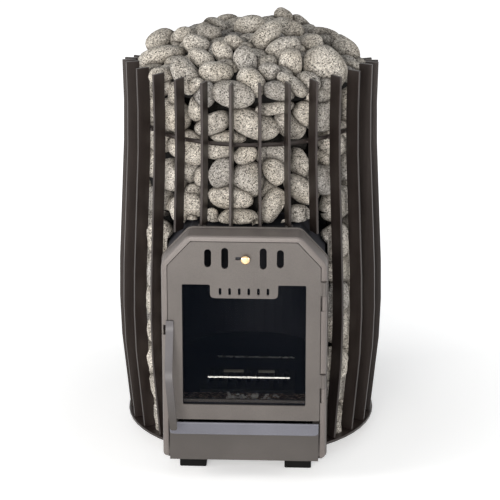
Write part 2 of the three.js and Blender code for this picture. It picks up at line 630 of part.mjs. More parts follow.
// Collar round the door, open below for the ash drawer
function collarBlank() {
  const shape = outline(doorOutline(COLLAR_MARGIN, COLLAR_BOTTOM_Z), COLLAR_CORNER);
  const depth = COLLAR_DEPTH + COLLAR_BEND;
  const geometry = new THREE.ExtrudeGeometry(shape, {
    depth: depth - COLLAR_BEND,
    bevelEnabled: true,
    bevelSize: COLLAR_BEND,
    bevelOffset: -COLLAR_BEND,
    bevelThickness: COLLAR_BEND,
    bevelSegments: 3,
    curveSegments: 3,
  });
  geometry.rotateX(Math.PI / 2).translate(0, DOOR_FACE_Y + depth, 0);
  const far = 2 * COLLAR_DEPTH;
  const wide = DOOR_WIDTH;
  return cut(solid(geometry), block(-wide, wide, COLLAR_BACK_Y, COLLAR_BACK_Y + far, 0, DOOR_TOP_Z + far));
}

function hingeSpan(middleZ) {
  return { lowZ: middleZ - HINGE_HEIGHT / 2, splitZ: middleZ, highZ: middleZ + HINGE_HEIGHT / 2 };
}

const HINGES = [hingeSpan(HINGE_UPPER_Z), hingeSpan(HINGE_LOWER_Z)];

function hingeBore(lowZ, highZ) {
  return uprightCylinder(HINGE_PIN_RADIUS + SEAT_GAP, lowZ - 1, highZ + 1, 16, HINGE_X, DOOR_FACE_Y);
}

function frontCollar() {
  const openBottom = 0;
  const wallY = DOOR_FACE_Y + COLLAR_WALL;
  const side = DOOR_WIDTH / 2 + COLLAR_MARGIN;
  const wallInside = doorOutline(COLLAR_MARGIN - COLLAR_WALL, openBottom);
  let collar = cut(
    collarBlank(),
    plate(outline(wallInside), wallY, COLLAR_BACK_Y + COLLAR_WALL),
    plate(outline(doorOutline(DOOR_GAP, openBottom)), DOOR_FACE_Y - COLLAR_WALL, wallY + COLLAR_WALL),
  );
  const seatBottomZ = DOOR_BOTTOM_Z - COLLAR_WALL;
  const seat = ringPlate(
    doorOutline(COLLAR_MARGIN - COLLAR_WALL / 2, seatBottomZ), doorOutline(-SEAT_FLANGE),
    SEAT_FRONT_Y, SEAT_FRONT_Y + SEAT_THICKNESS,
  );
  collar = collar.add(solid(seat));
  const notchBack = DOOR_FACE_Y + HINGE_BARREL_RADIUS + 2 * SEAT_GAP;
  const notchFront = DOOR_FACE_Y - COLLAR_BEND;
  HINGES.forEach(({ lowZ, splitZ, highZ }) => {
    const notchLow = lowZ - HINGE_NOTCH;
    const notchHigh = highZ + HINGE_NOTCH;
    const notch = block(DOOR_WIDTH / 2, side + 1, notchFront, notchBack, notchLow, notchHigh);
    const knuckleTop = splitZ - SEAT_GAP / 2;
    const barrel = uprightCylinder(HINGE_BARREL_RADIUS, lowZ, knuckleTop, 16, HINGE_X, DOOR_FACE_Y);
    const leaf = block(HINGE_X, side - SEAT_GAP, DOOR_FACE_Y, notchBack + COLLAR_WALL, lowZ, knuckleTop);
    collar = cut(cut(collar, notch).add(join(barrel, leaf)), hingeBore(lowZ, knuckleTop));
  });
  const catchNotch = block(
    -side - 1, -DOOR_WIDTH / 2, notchFront, notchBack, CATCH_Z - CATCH_NOTCH / 2, CATCH_Z + CATCH_NOTCH / 2,
  );
  return geometryOf(cut(collar, catchNotch));
}

// Door panel
function windowOutline() {
  const half = WINDOW_WIDTH / 2;
  const tabHalf = TAB_WIDTH / 2;
  const tabZ = WINDOW_TOP_Z - TAB_HEIGHT;
  const points = [
    [-half, WINDOW_BOTTOM_Z], [half, WINDOW_BOTTOM_Z], [half, WINDOW_TOP_Z], [tabHalf, WINDOW_TOP_Z],
    [tabHalf, tabZ], [-tabHalf, tabZ], [-tabHalf, WINDOW_TOP_Z], [-half, WINDOW_TOP_Z],
  ];
  const corner = WINDOW_CORNER;
  return outline(points, [corner, corner, corner, corner, TAB_CORNER, TAB_CORNER, corner, corner]);
}

function airSlots() {
  return AIR_SLOT_X.map((x, i) => slot(x, AIR_Z, AIR_SLOT_WIDTH, AIR_SLOT_LENGTH[i]));
}

function knobSlot() {
  const radius = KNOB_STEM_RADIUS + 2 * SEAT_GAP;
  const left = KNOB_X - AIR_TRAVEL;
  return rectangle(left - radius, KNOB_X + radius, AIR_Z - radius, AIR_Z + radius, radius / 2);
}

function tabSlots() {
  const z = WINDOW_TOP_Z - TAB_HEIGHT / 2;
  const first = -TAB_SLOT_PITCH * (TAB_SLOT_COUNT - 1) / 2;
  return Array.from({ length: TAB_SLOT_COUNT }, (_, i) => (
    slot(first + i * TAB_SLOT_PITCH, z, TAB_SLOT_WIDTH, TAB_SLOT_LENGTH)
  ));
}

// Guides above and below the sliding plate, each a shoulder with a lip behind the plate's edge
function airGuides() {
  const plateBack = GASKET_FRONT_Y + AIR_PLATE_THICKNESS + SEAT_GAP;
  const guideBack = plateBack + AIR_GUIDE_THICKNESS;
  const halfHeight = AIR_PLATE_HEIGHT / 2 + SEAT_GAP;
  const shoulder = DOOR_TOP_Z - DOOR_RIM / 2 - (AIR_Z + halfHeight);
  const half = AIR_PLATE_WIDTH / 2 + AIR_TRAVEL - AIR_GUIDE_LIP;
  return [-1, 1].flatMap((side) => {
    const edge = AIR_Z + side * halfHeight;
    const far = edge + side * shoulder;
    const near = edge - side * AIR_GUIDE_LIP;
    const heights = (a, b) => [Math.min(a, b), Math.max(a, b)];
    return [
      block(-half, half, DOOR_BACK_Y - 1, guideBack, ...heights(edge, far)),
      block(-half, half, plateBack, guideBack, ...heights(near, far)),
    ];
  });
}

function doorPanel() {
  const shape = outline(doorOutline(0), COLLAR_WALL);
  shape.holes.push(windowOutline(), knobSlot(), ...airSlots(), ...tabSlots());
  const rim = ringPlate(doorOutline(0), doorOutline(-DOOR_RIM), DOOR_BACK_Y - 1, RIM_BACK_Y, COLLAR_WALL);
  let door = join(plate(shape, DOOR_FACE_Y, DOOR_BACK_Y), rim, ...airGuides());
  const doorSide = DOOR_WIDTH / 2;
  HINGES.forEach(({ splitZ, highZ }) => {
    const knuckleLow = splitZ + SEAT_GAP / 2;
    const barrel = uprightCylinder(HINGE_BARREL_RADIUS, knuckleLow, highZ, 16, HINGE_X, DOOR_FACE_Y);
    const leafBack = DOOR_FACE_Y + HINGE_LEAF;
    const leaf = block(doorSide - HINGE_LEAF, HINGE_X, DOOR_FACE_Y, leafBack, knuckleLow, highZ);
    door = cut(door.add(join(barrel, leaf)), hingeBore(knuckleLow, highZ));
  });
  const noseY = DOOR_FACE_Y + DOOR_DEPTH - 2 * CATCH_NOSE + SEAT_GAP;
  const noseHalf = CATCH_HEIGHT / 2 - CATCH_NOSE / 2;
  const nose = uprightCylinder(CATCH_NOSE, CATCH_Z - noseHalf, CATCH_Z + noseHalf, 12, -doorSide, noseY);
  const rimInside = block(-doorSide + DOOR_RIM / 2, 0, noseY - 2 * CATCH_NOSE, noseY + 2 * CATCH_NOSE,
    CATCH_Z - CATCH_HEIGHT, CATCH_Z + CATCH_HEIGHT);
  return geometryOf(door.add(cut(solid(nose), rimInside)));
}

function hingePin({ lowZ, highZ }) {
  const headZ = highZ + SEAT_GAP;
  const pin = uprightCylinder(HINGE_PIN_RADIUS, lowZ, headZ + HINGE_LEAF / 2, 14);
  const head = uprightCylinder(HINGE_BARREL_RADIUS, headZ, headZ + HINGE_LEAF / 2, 14);
  return geometryOf(join(pin, head));
}

// The glass, what it lies on and what holds it
function windowFrame(grow, width, frontY, thickness) {
  const ring = (margin) => {
    const half = WINDOW_WIDTH / 2 + margin;
    const low = WINDOW_BOTTOM_Z - margin;
    const high = WINDOW_TOP_Z + margin;
    return [[-half, low], [half, low], [half, high], [-half, high]];
  };
  return ringPlate(ring(grow), ring(grow - width), frontY, frontY + thickness);
}

function doorGlass() {
  const half = WINDOW_WIDTH / 2 + GLASS_OVERLAP;
  const lowZ = WINDOW_BOTTOM_Z - GLASS_OVERLAP;
  const highZ = WINDOW_TOP_Z + GLASS_OVERLAP;
  const shape = rectangle(-half, half, lowZ, highZ, GLASS_CORNER);
  return plate(shape, GLASS_FRONT_Y, GLASS_FRONT_Y + GLASS_THICKNESS, 3);
}

function doorSeal() {
  return ringPlate(
    doorOutline(-SEAT_GAP), doorOutline(-DOOR_SEAL_WIDTH), SEAL_FRONT_Y, SEAL_FRONT_Y + DOOR_SEAL_THICKNESS,
  );
}

// Air slide and its knob
function airSlide() {
  const half = AIR_PLATE_WIDTH / 2;
  const halfHeight = AIR_PLATE_HEIGHT / 2;
  const shape = rectangle(-half, half, AIR_Z - halfHeight, AIR_Z + halfHeight);
  const stemHole = new THREE.Shape();
  stemHole.absarc(KNOB_X, AIR_Z, KNOB_STEM_RADIUS + SEAT_GAP, 0, 2 * Math.PI);
  shape.holes.push(stemHole, ...airSlots());
  return plate(shape, GASKET_FRONT_Y, GASKET_FRONT_Y + AIR_PLATE_THICKNESS, 5);
}

function airKnob() {
  const stemEnd = GASKET_FRONT_Y + AIR_PLATE_THICKNESS;
  const neckY = DOOR_FACE_Y - SEAT_GAP;
  const faceY = neckY - KNOB_LENGTH;
  const edge = KNOB_LENGTH / 5;
  const points = [
    [0, faceY], [KNOB_RADIUS - edge, faceY + SEAT_GAP],
    [KNOB_RADIUS, faceY + edge], [KNOB_RADIUS, faceY + 2 * edge],
    [KNOB_NECK_RADIUS, faceY + 4 * edge], [KNOB_NECK_RADIUS, neckY], [KNOB_STEM_RADIUS, neckY],
    [KNOB_STEM_RADIUS, stemEnd], [0, stemEnd],
  ];
  return turnedAlongY(points, 20, KNOB_X, AIR_Z);
}

// Handle: the strip's front outline and its bent side outline, each carried across, and what they share
function doorHandle() {
  const half = HANDLE_WIDTH / 2;
  const lowX = HANDLE_X + HANDLE_LEAN;
  const tip = half * 0.9;
  const front = outline([
    [lowX - half, HANDLE_BOTTOM_Z], [lowX + half, HANDLE_BOTTOM_Z], [HANDLE_X + half, HANDLE_BEND_Z + half],
    [HANDLE_X + half, HANDLE_TOP_Z], [HANDLE_X - half, HANDLE_TOP_Z], [HANDLE_X - half, HANDLE_BEND_Z + half],
  ], [tip, tip, half, 1, 1, half]);
  const backY = DOOR_FACE_Y - SEAT_GAP;
  const outY = backY - HANDLE_STAND_OFF;
  const deep = HANDLE_THICKNESS;
  const flatZ = HANDLE_TOP_Z - HANDLE_FLAT;
  const bend = 1.5 * HANDLE_THICKNESS;
  const side = outline([
    [backY, HANDLE_TOP_Z], [backY - deep, HANDLE_TOP_Z], [backY - deep, flatZ - deep / 4],
    [outY - deep, HANDLE_BEND_Z - deep / 4], [outY - deep, HANDLE_BOTTOM_Z], [outY, HANDLE_BOTTOM_Z],
    [outY, HANDLE_BEND_Z], [backY, flatZ],
  ], [0.5, 0.5, bend, bend + deep, 1, 1, bend, bend + deep]);
  const wide = HANDLE_WIDTH + HANDLE_LEAN;
  const options = { depth: 4 * wide, bevelEnabled: false, curveSegments: 4 };
  const sideForm = new THREE.ExtrudeGeometry(side, options);
  sideForm.rotateX(Math.PI / 2).rotateZ(Math.PI / 2).translate(HANDLE_X - 2 * wide, 0, 0);
  const frontForm = plate(front, outY - 2 * deep, backY + deep, 4);
  return geometryOf(solid(frontForm).intersect(solid(sideForm)));
}

// Spring catch: a humped leaf on the collar's left wall, in front of the door's nose
function catchSpring() {
  const wallX = -(DOOR_WIDTH / 2 + COLLAR_MARGIN - COLLAR_WALL) + SEAT_GAP;
  const noseX = -DOOR_WIDTH / 2 - CATCH_NOSE;
  const noseY = DOOR_FACE_Y + DOOR_DEPTH - 2 * CATCH_NOSE + SEAT_GAP;
  const leaf = [
    [wallX, SEAT_FRONT_Y - 1], [wallX, noseY + CATCH_NOSE], [noseX + 1.2, noseY - 1.6 * CATCH_NOSE],
    [wallX + CATCH_NOSE, noseY - 3 * CATCH_NOSE],
  ];
  const inner = leaf.map(([x, y]) => [x + CATCH_SPRING, y]);
  const shape = outline([...leaf].reverse().concat(inner));
  return slab(shape, CATCH_Z - CATCH_HEIGHT / 2, CATCH_Z + CATCH_HEIGHT / 2);
}

// Ash drawer
function drawerFront() {
  const half = DRAWER_FRONT_WIDTH / 2;
  const backY = DRAWER_FRONT_Y + DRAWER_FRONT_PLATE;
  const face = rectangle(-half, half, DRAWER_FRONT_BOTTOM_Z, DRAWER_FRONT_TOP_Z);
  const panel = plate(face, DRAWER_FRONT_Y, backY);
  const lipShape = outline(
    [[-half, -LIP_LENGTH], [half, -LIP_LENGTH], [half, 0], [-half, 0]], [LIP_CORNER, LIP_CORNER, 0, 0],
  );
  const lip = slab(lipShape, -LIP_THICKNESS, 0, 4);
  lip.rotateX(THREE.MathUtils.degToRad(LIP_ANGLE)).translate(0, backY - SEAT_GAP, DRAWER_FRONT_TOP_Z);
  return geometryOf(join(panel, lip));
}

function drawerTray() {
  const half = TRAY_WIDTH / 2;
  const frontY = DRAWER_FRONT_Y + DRAWER_FRONT_PLATE + SEAT_GAP;
  const backY = frontY + TRAY_LENGTH;
  const box = solid(block(-half, half, frontY, backY, TRAY_LOW_Z, TRAY_LOW_Z + TRAY_HEIGHT));
  const inside = block(
    TRAY_WALL - half, half - TRAY_WALL, frontY + TRAY_WALL, backY - TRAY_WALL,
    TRAY_LOW_Z + TRAY_WALL, TRAY_LOW_Z + 2 * TRAY_HEIGHT,
  );
  return geometryOf(cut(box, inside));
}

// Stones. The numbers run in a fixed order, so that every build gives the same heap.
function dice(seed) {
  let state = seed;
  return () => {
    state = (state * 16807) % 2147483647;
    return state / 2147483647;
  };
}

function pebble(roll, [x, y, z], angle, [radial, round, tall]) {
  const size = () => 0.86 + 0.28 * roll();
  const form = new THREE.SphereGeometry(1, 7, 4);
  form.scale(round * size(), radial, tall * size());
  form.rotateY((roll() - 0.5) * 0.9);
  return form.rotateZ(angle).translate(x, y, z);
}

function largestPiece(body) {
  return body.decompose().reduce((best, piece) => (piece.volume() > best.volume() ? piece : best));
}

// Steel that the stones keep clear of
function stoneKeepout() {
  return join(
    uprightCylinder(FIREBOX_RADIUS + STONE_GAP, 0, FIREBOX_TOP_Z + SEAT_GAP, FIREBOX_SEGMENTS),
    plate(outline(doorOutline(PLATE_MARGIN + STONE_GAP, 0)), DOOR_FACE_Y, 0),
    new THREE.TorusGeometry(HOOP_RADIUS, HOOP_WIRE / 2 + STONE_GAP, 6, 2 * BAR_COUNT).translate(0, 0, HOOP_Z),
    levelCylinder(FLUE_RADIUS + STONE_GAP, 0, FLUE_END_Y, FLUE_SEGMENTS, 0, FLUE_Z),
  );
}

// A wedge of the cage between two angles from the front
function wedge(fromAngle, toAngle, lowZ, highZ) {
  const reach = 2 * CAGE_BELLY_RADIUS;
  const middle = (fromAngle + toAngle) / 2;
  const gap = SEAT_GAP / Math.sin((toAngle - fromAngle) / 2);
  const tip = [gap * Math.sin(middle), -gap * Math.cos(middle)];
  const rim = [fromAngle, middle, toAngle].map((angle) => [
    tip[0] + reach * Math.sin(angle), tip[1] - reach * Math.cos(angle),
  ]);
  return slab(outline([tip, ...rim]), lowZ, highZ);
}

function bedCore(lowZ) {
  const inner = FIREBOX_RADIUS - FIREBOX_WALL;
  const steps = 4;
  const heights = Array.from({ length: steps + 1 }, (_, i) => lowZ + (BED_TOP_Z - lowZ) * i / steps);
  const face = heights.map((z) => [cageRadius(z) - BAR_DEPTH - STONE_GAP - STONE_BULGE, z]);
  return turnedAlongZ([[inner, lowZ], ...face, [inner, BED_TOP_Z], [inner, lowZ]], BAR_COUNT);
}

function stoneBed(fromDegrees, toDegrees, lowZ, seed) {
  const roll = dice(seed);
  const fromAngle = THREE.MathUtils.degToRad(fromDegrees);
  const toAngle = THREE.MathUtils.degToRad(toDegrees);
  const courses = Math.round((BED_TOP_Z - lowZ) / STONE_COURSE);
  const courseHeight = (BED_TOP_Z - lowZ) / courses;
  const stones = [];
  for (let course = 0; course < courses; course += 1) {
    const z = lowZ + (course + 0.5) * courseHeight;
    const radius = cageRadius(z) - BAR_DEPTH - 2 * STONE_GAP - STONE_RADIAL;
    const count = Math.round((toAngle - fromAngle) * radius / STONE_SPREAD);
    for (let i = 0; i <= count; i += 1) {
      const shift = course % 2 === 0 ? 0 : 0.5;
      const angle = fromAngle + (toAngle - fromAngle) * (i + shift) / count;
      const jitter = (roll() - 0.5) * courseHeight * 0.3;
      const place = [radius * Math.sin(angle), -radius * Math.cos(angle), z + jitter];
      stones.push(pebble(roll, place, angle, [STONE_RADIAL, STONE_ROUND, STONE_TALL]));
    }
  }
  const heap = solid(bedCore(lowZ)).add(join(...stones));
  const room = solid(wedge(fromAngle, toAngle, lowZ, BED_TOP_Z));
  return geometryOf(largestPiece(heap.intersect(room).subtract(stoneKeepout())));
}

function crownSurfaceZ(radius) {
  return CROWN_Z - CROWN_FALL * (radius / CROWN_RADIUS) ** 2;
}

function crownStone([x, y, rise, length, width, tilt]) {
  const form = new THREE.SphereGeometry(1, 8, 4);
  form.scale(length / 2, 0.21 * (length + width), width / 2);
  form.rotateY(-THREE.MathUtils.degToRad(tilt)).rotateX(-THREE.MathUtils.degToRad(CROWN_LEAN));
  const spread = CROWN_RADIUS / CROWN_LIST_RADIUS;
  return form.translate(spread * x, spread * y, CAGE_TOP_Z + rise);
}

function stoneCrown(seed) {
  const roll = dice(seed);
  const inner = FIREBOX_RADIUS - FIREBOX_WALL;
  const lowZ = FIREBOX_TOP_Z + SEAT_GAP;
  const undersideZ = BED_TOP_Z + SEAT_GAP;
  const rings = [1, 0.75, 0.5, 0.25, 0].map((share) => CROWN_RADIUS * share);
  const dome = rings.map((radius) => [radius, crownSurfaceZ(radius)]);
  const core = turnedAlongZ([
    [0, lowZ], [inner - STONE_GAP, lowZ],
    [inner - STONE_GAP, undersideZ], [CROWN_RADIUS, undersideZ], ...dome,
  ], BAR_COUNT);
  const seen = CROWN_STONES.map(crownStone);
  const behind = CROWN_REAR_RINGS.flatMap(([radius, count]) => Array.from({ length: count }, (_, i) => {
    const share = (i + 0.5) / count - 0.5;
    const angle = Math.PI + THREE.MathUtils.degToRad(CROWN_REAR_ARC) * share;
    const place = [radius * Math.sin(angle), -radius * Math.cos(angle), crownSurfaceZ(radius)];
    return pebble(roll, place, angle, CROWN_REAR_STONE);
  }));
  const reach = 2 * CROWN_RADIUS;
  const cageRoom = CAGE_WAIST_RADIUS - BAR_DEPTH - STONE_GAP;
  const roof = solid(uprightCylinder(cageRoom, lowZ, 2 * CROWN_Z, 2 * BAR_COUNT));
  const underside = cut(roof, turnedAlongZ([
    [inner - STONE_GAP, 0], [reach, 0], [reach, undersideZ],
    [inner - STONE_GAP, undersideZ], [inner - STONE_GAP, 0],
  ], BAR_COUNT));
  return geometryOf(largestPiece(solid(core).add(join(...seen, ...behind)).intersect(underside)));
}

// The assembly
function piece(name, geometry, material) {
  const mesh = new THREE.Mesh(geometry, material);
  mesh.name = name;
  return mesh;
}

function feet() {
  const group = new THREE.Group();
  const shape = footBlock();
  [['front', FRONT_FOOT_Y], ['rear', REAR_FOOT_Y]].forEach(([end, y]) => {
    [['left', -1], ['right', 1]].forEach(([hand, side]) => {
      const foot = piece(`foot_${end}_${hand}`, shape, FOOT_BLACK);
      foot.position.set(side * FOOT_SPREAD / 2, y, 0);
      group.add(foot);
    });
  });
  return group;
}

function cage() {
  const group = cageBars();
  group.add(piece('cage_hoop', cageHoop(), BAR_STEEL));
  return group;
}

function firebox() {
  const group = new THREE.Group();
  group.add(
    piece('base_plate', basePlate(), BAR_STEEL),
    piece('firebox_shell', fireboxShell(), FIREBOX_STEEL),
    piece('front_plate', frontPlate(), GREY_PAINT),
    piece('front_collar', frontCollar(), GREY_PAINT),
    piece('catch_spring', catchSpring(), BRIGHT_STEEL),
    piece('fire_grate', fireGrate(), CAST_IRON),
    piece('flame_baffle', flameBaffle(), CAST_IRON),
    piece('flue_spigot', flueSpigot(), FIREBOX_STEEL),
  );
  ['hinge_pin_upper', 'hinge_pin_lower'].forEach((name, i) => {
    const pin = piece(name, hingePin(HINGES[i]), BRIGHT_STEEL);
    pin.position.set(HINGE_X, DOOR_FACE_Y, 0);
    group.add(pin);
  });
  return group;
}

function door() {
  const group = new THREE.Group();
  const gasket = windowFrame(GLASS_OVERLAP - 1, GASKET_WIDTH, GASKET_FRONT_Y, GASKET_THICKNESS);
  const retainer = windowFrame(GLASS_OVERLAP, RETAINER_WIDTH, RETAINER_FRONT_Y, RETAINER_THICKNESS);
  group.add(
    piece('door_panel', doorPanel(), GREY_PAINT),
    piece('door_glass', doorGlass(), CERAMIC_GLASS),
    piece('glass_gasket', gasket, ROPE_SEAL),
    piece('glass_retainer', retainer, FIREBOX_STEEL),
    piece('door_seal', doorSeal(), ROPE_SEAL),
    piece('door_handle', doorHandle(), GREY_PAINT),
    piece('air_slide', airSlide(), FIREBOX_STEEL),
    piece('air_knob', airKnob(), BRIGHT_STEEL),
  );
  return group;
}

function ashDrawer() {
  const group = new THREE.Group();
  group.add(
    piece('ash_drawer_front', drawerFront(), GREY_PAINT),
    piece('ash_drawer_tray', drawerTray(), FIREBOX_STEEL),
  );
  return group;
}

function stones() {
  const group = new THREE.Group();
  const [frontRight, rearRight, rearLeft, frontLeft] = BED_SPLIT_ANGLES;
  const fullTurn = 360;
  const roofZ = DOOR_TOP_Z + THROAT_MARGIN + STONE_GAP;
  group.add(
    piece('stones_front', stoneBed(frontLeft - fullTurn, frontRight, roofZ, 101), GRANITE),
    piece('stones_right', stoneBed(frontRight, rearRight, STAND_Z, 211), GRANITE),
    piece('stones_rear', stoneBed(rearRight, rearLeft, STAND_Z, 307), GRANITE),
    piece('stones_left', stoneBed(rearLeft, frontLeft, STAND_Z, 401), GRANITE),
    piece('stones_crown', stoneCrown(503), GRANITE),
  );
  return group;
}

const stove = new THREE.Group();
stove.name = 'sauna_stove';
stove.add(feet(), cage(), firebox(), door(), ashDrawer(), stones());

export default stove;
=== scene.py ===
import json
from collections import namedtuple
from math import atan2, copysign, cos, pi, radians, sin, sqrt

import bmesh
import bpy
from mathutils import Matrix, Vector, noise


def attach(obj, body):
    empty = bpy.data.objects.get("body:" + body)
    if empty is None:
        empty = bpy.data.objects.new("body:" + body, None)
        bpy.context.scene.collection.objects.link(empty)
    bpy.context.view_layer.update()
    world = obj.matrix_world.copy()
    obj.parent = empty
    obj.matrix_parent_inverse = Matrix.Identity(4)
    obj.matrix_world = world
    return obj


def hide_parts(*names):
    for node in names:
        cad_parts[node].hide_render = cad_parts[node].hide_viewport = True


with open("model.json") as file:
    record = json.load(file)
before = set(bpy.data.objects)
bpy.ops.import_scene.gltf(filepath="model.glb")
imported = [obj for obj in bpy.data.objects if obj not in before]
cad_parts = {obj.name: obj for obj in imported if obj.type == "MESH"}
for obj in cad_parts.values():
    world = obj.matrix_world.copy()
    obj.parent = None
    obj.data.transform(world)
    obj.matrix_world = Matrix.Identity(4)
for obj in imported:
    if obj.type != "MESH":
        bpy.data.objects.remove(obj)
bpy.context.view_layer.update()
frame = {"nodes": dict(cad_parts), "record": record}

# Camera, fitted to the photograph: metres, degrees and pixels of the 500 by 500 picture
PICTURE = 500
CAMERA_DISTANCE = 4.5
CAMERA_HEIGHT = 1.9426
CAMERA_SIDE_TURN = 2.4
CAMERA_DOWN_TILT = 19.33
FOCAL_PIXELS = 2383
PICTURE_MIDDLE = (250.8, 249.0)

# Lines of sight are followed from short of the cage, in steps
SIGHT_START = 3.9
SIGHT_STEP = 0.002
SIGHT_STEPS = 900

# Cage, as in the solids, in metres
BAR_COUNT = 28
BAR_DEPTH = 0.026
CAGE_HEIGHTS = (0.0306, 0.2365, 0.66, 0.77)
CAGE_RADII = (0.2445, 0.2625, 0.2482, 0.2500)
HOOP_Z = 0.647
HOOP_RADIUS = 0.2179
HOOP_REACH = 0.008  # above and below the hoop, where stones stay inside it
HOOP_ROOM = 0.006
FIREBOX_RADIUS = 0.165
FIREBOX_TOP_Z = 0.560
THROAT_TOP_Z = 0.4905
THROAT_SHOULDER_Z = 0.442
THROAT_HALF = 0.152
THROAT_TOP_HALF = 0.108
THROAT_STONE_STEP = 0.012
THROAT_STONE_RISE = 0.003
FLUE_Z = 0.480
FLUE_RADIUS = 0.060
BED_TOP_Z = 0.720
STONE_CLEARANCE = 0.002
BAR_KEEPOUT = 0.006
GAP_SLOPE = 0.013
GAP_BULGE = 0.016

# Floor of the firebox and what lies on it
FLOOR_TOP_Z = 0.125
HEARTH_HALF_WIDTH = 0.132
HEARTH_FRONT_Y = -0.252
HEARTH_GAP = 0.002
HEARTH_THICKNESS = 0.0008
GRATE_LITTER_SHIFT = 0.016
GUARD_LEFT_X = -0.081
GUARD_RIGHT_X = 0.082
GUARD_HALF_THICKNESS = 0.0008
GUARD_HEIGHT = 0.0030
GUARD_LEAN = -26
GUARD_PLACE = 0.68  # along the grate, as a share of its length
CHIP_SPANS = ((-0.051, -0.011), (0.019, 0.051))
CHIP_DEPTH = 0.006
CHIP_HEIGHT = 0.004
SEAM_BEADS = 44
SEAM_LEFT_X = -0.068
SEAM_PITCH = 0.0036
SEAM_Y = 0.014
SEAM_WOBBLE = 0.002
SEAM_BEAD_RADIUS = 0.0024
LITTER_RISE = 0.001
ASH_SEED = 77
ASH_SCRAPS = 80
ASH_HALF_WIDTH = 0.075
ASH_FROM_Y = -0.224
ASH_TO_Y = -0.184
ASH_LEAST_HALF = 0.002
ASH_HALF_SPREAD = 0.007
ASH_SHARES = (1.0, 0.4, 0.6)

# Ledge behind the foot of the glass
GLASS_OVERLAP = 0.008
LEDGE_DROP = 0.0025
LEDGE_HALF_WIDTH = 0.116
LEDGE_GAP = 0.001
LEDGE_DEPTH = 0.005
LEDGE_HEIGHT = 0.009

# Weld beads: how far each lies out and to the side of its joint, and its radius
HOOP_BEAD = (0.0035, 0.0036, 0.0030)
FOOT_BEAD = (-0.004, 0.0044, 0.0036)
FOOT_BEAD_RISE = 0.002
FRONT_BAR_COSINE = 0.9
BEAD_DENTS = 0.35
BEAD_GRAIN = 260

# A pebble: how square it is, with the depth and fineness of its dents, and the range of its tint
SQUARENESS = 0.90
BROAD_DENTS = (0.11, 1.1)
FINE_DENTS = (0.035, 2.6)
TINT_MIDDLE = 0.6
TINT_SPREAD = 0.4

# Crown of stones, as in the solids: middle x and y, height over the bars, length and width in millimetres,
# and tilt in degrees
CROWN_STONES = (
    (60, 115, 45, 40, 30, -35), (95, 120, 25, 50, 30, -45), (35, 115, 35, 30, 20, 10),
    (-50, 115, 35, 45, 25, 0), (70, 40, 35, 65, 45, -20), (-70, 65, 35, 55, 30, -25),
    (140, 60, 20, 65, 30, -10), (-130, 25, 25, 45, 35, 0), (-5, 35, 40, 65, 50, 15),
    (-180, 60, 5, 65, 45, 25), (-80, -5, 35, 50, 40, -10), (115, -20, 25, 50, 35, 10),
    (-30, -65, 35, 40, 30, -20), (185, 15, 0, 60, 45, -42), (-100, -50, 25, 60, 40, -30),
    (25, -50, 35, 100, 45, 50), (65, -80, 25, 70, 50, 25), (-170, -45, 0, 90, 45, 14),
    (-50, -100, 25, 50, 35, -58), (-90, -110, 15, 55, 35, -25), (-5, -130, 15, 60, 45, -75),
    (80, -125, 10, 60, 45, 82), (200, -60, -10, 35, 20, -15), (145, -105, -5, 90, 80, -60),
    (40, -165, 5, 45, 35, 0), (-60, -155, 0, 65, 45, -5), (-115, -150, -10, 85, 50, -55),
    (-165, -130, -15, 50, 35, 0), (10, -185, -10, 65, 45, -50), (85, -180, -15, 70, 30, -35),
)
CROWN_EXTRA_STONES = ((35, -122, 8, 45, 35, 10), (115, -160, -14, 50, 35, -20), (-5, -75, 24, 40, 30, 0))
CROWN_SEED = 70.9
CROWN_DEPTH_SHARE = 0.42
CROWN_LEAN = 19
CROWN_Z = 0.799
CROWN_FALL = 0.050
CROWN_RADIUS = 0.2065
CROWN_REAR_RINGS = ((0.105, 4), (0.150, 7), (0.190, 10))
CROWN_REAR_ARC = 150
CROWN_REAR_STONE = (0.024, 0.034, 0.027)
CROWN_REAR_DICE = 503
CROWN_REAR_SEED = 600

# Small stones in the bare spots of the crown, and round its rim
FILL_TRIES = 110
FILL_SEED = 800
FILL_TURN = 2.4
FILL_SINK = 0.006
FILL_ROOM = 1.12
FILL_HALVES = (0.027, 0.021, 0.017)
RIM_TRIES = 48
RIM_SEED = 950
RIM_TURN = 1.7
RIM_RADIUS = 0.203
RIM_Z = 0.735

# Beds of stones, as in the solids: spread, height of a course and half sizes of a stone
STAND_Z = 0.031
STONE_SPREAD = 0.080
STONE_COURSE = 0.064
STONE_HALVES = (0.026, 0.043, 0.035)
LEAST_SIZE = 0.86
SIZE_SPREAD = 0.28
LEAN_SPREAD = 0.9
LIFT_SPREAD = 0.3
BED_CLEARANCE = 0.003
RIGHT_BED = (45, 135, 211)  # from and to an angle from the front in degrees, and the seed of the draws
REAR_BED = (135, 225, 307)
LEFT_BED = (225, 315, 401)
CORE_DEPTH = 0.005
CORE_FRONT_Y = -0.130  # painted shade in the depth of the beds ends short of the throat
BED_BULGE = 0.006  # how far the stones of the beds press out between the bars
NOOK_REACH = 0.34  # how far a stone's shade reaches over its neighbour, as a share of its size

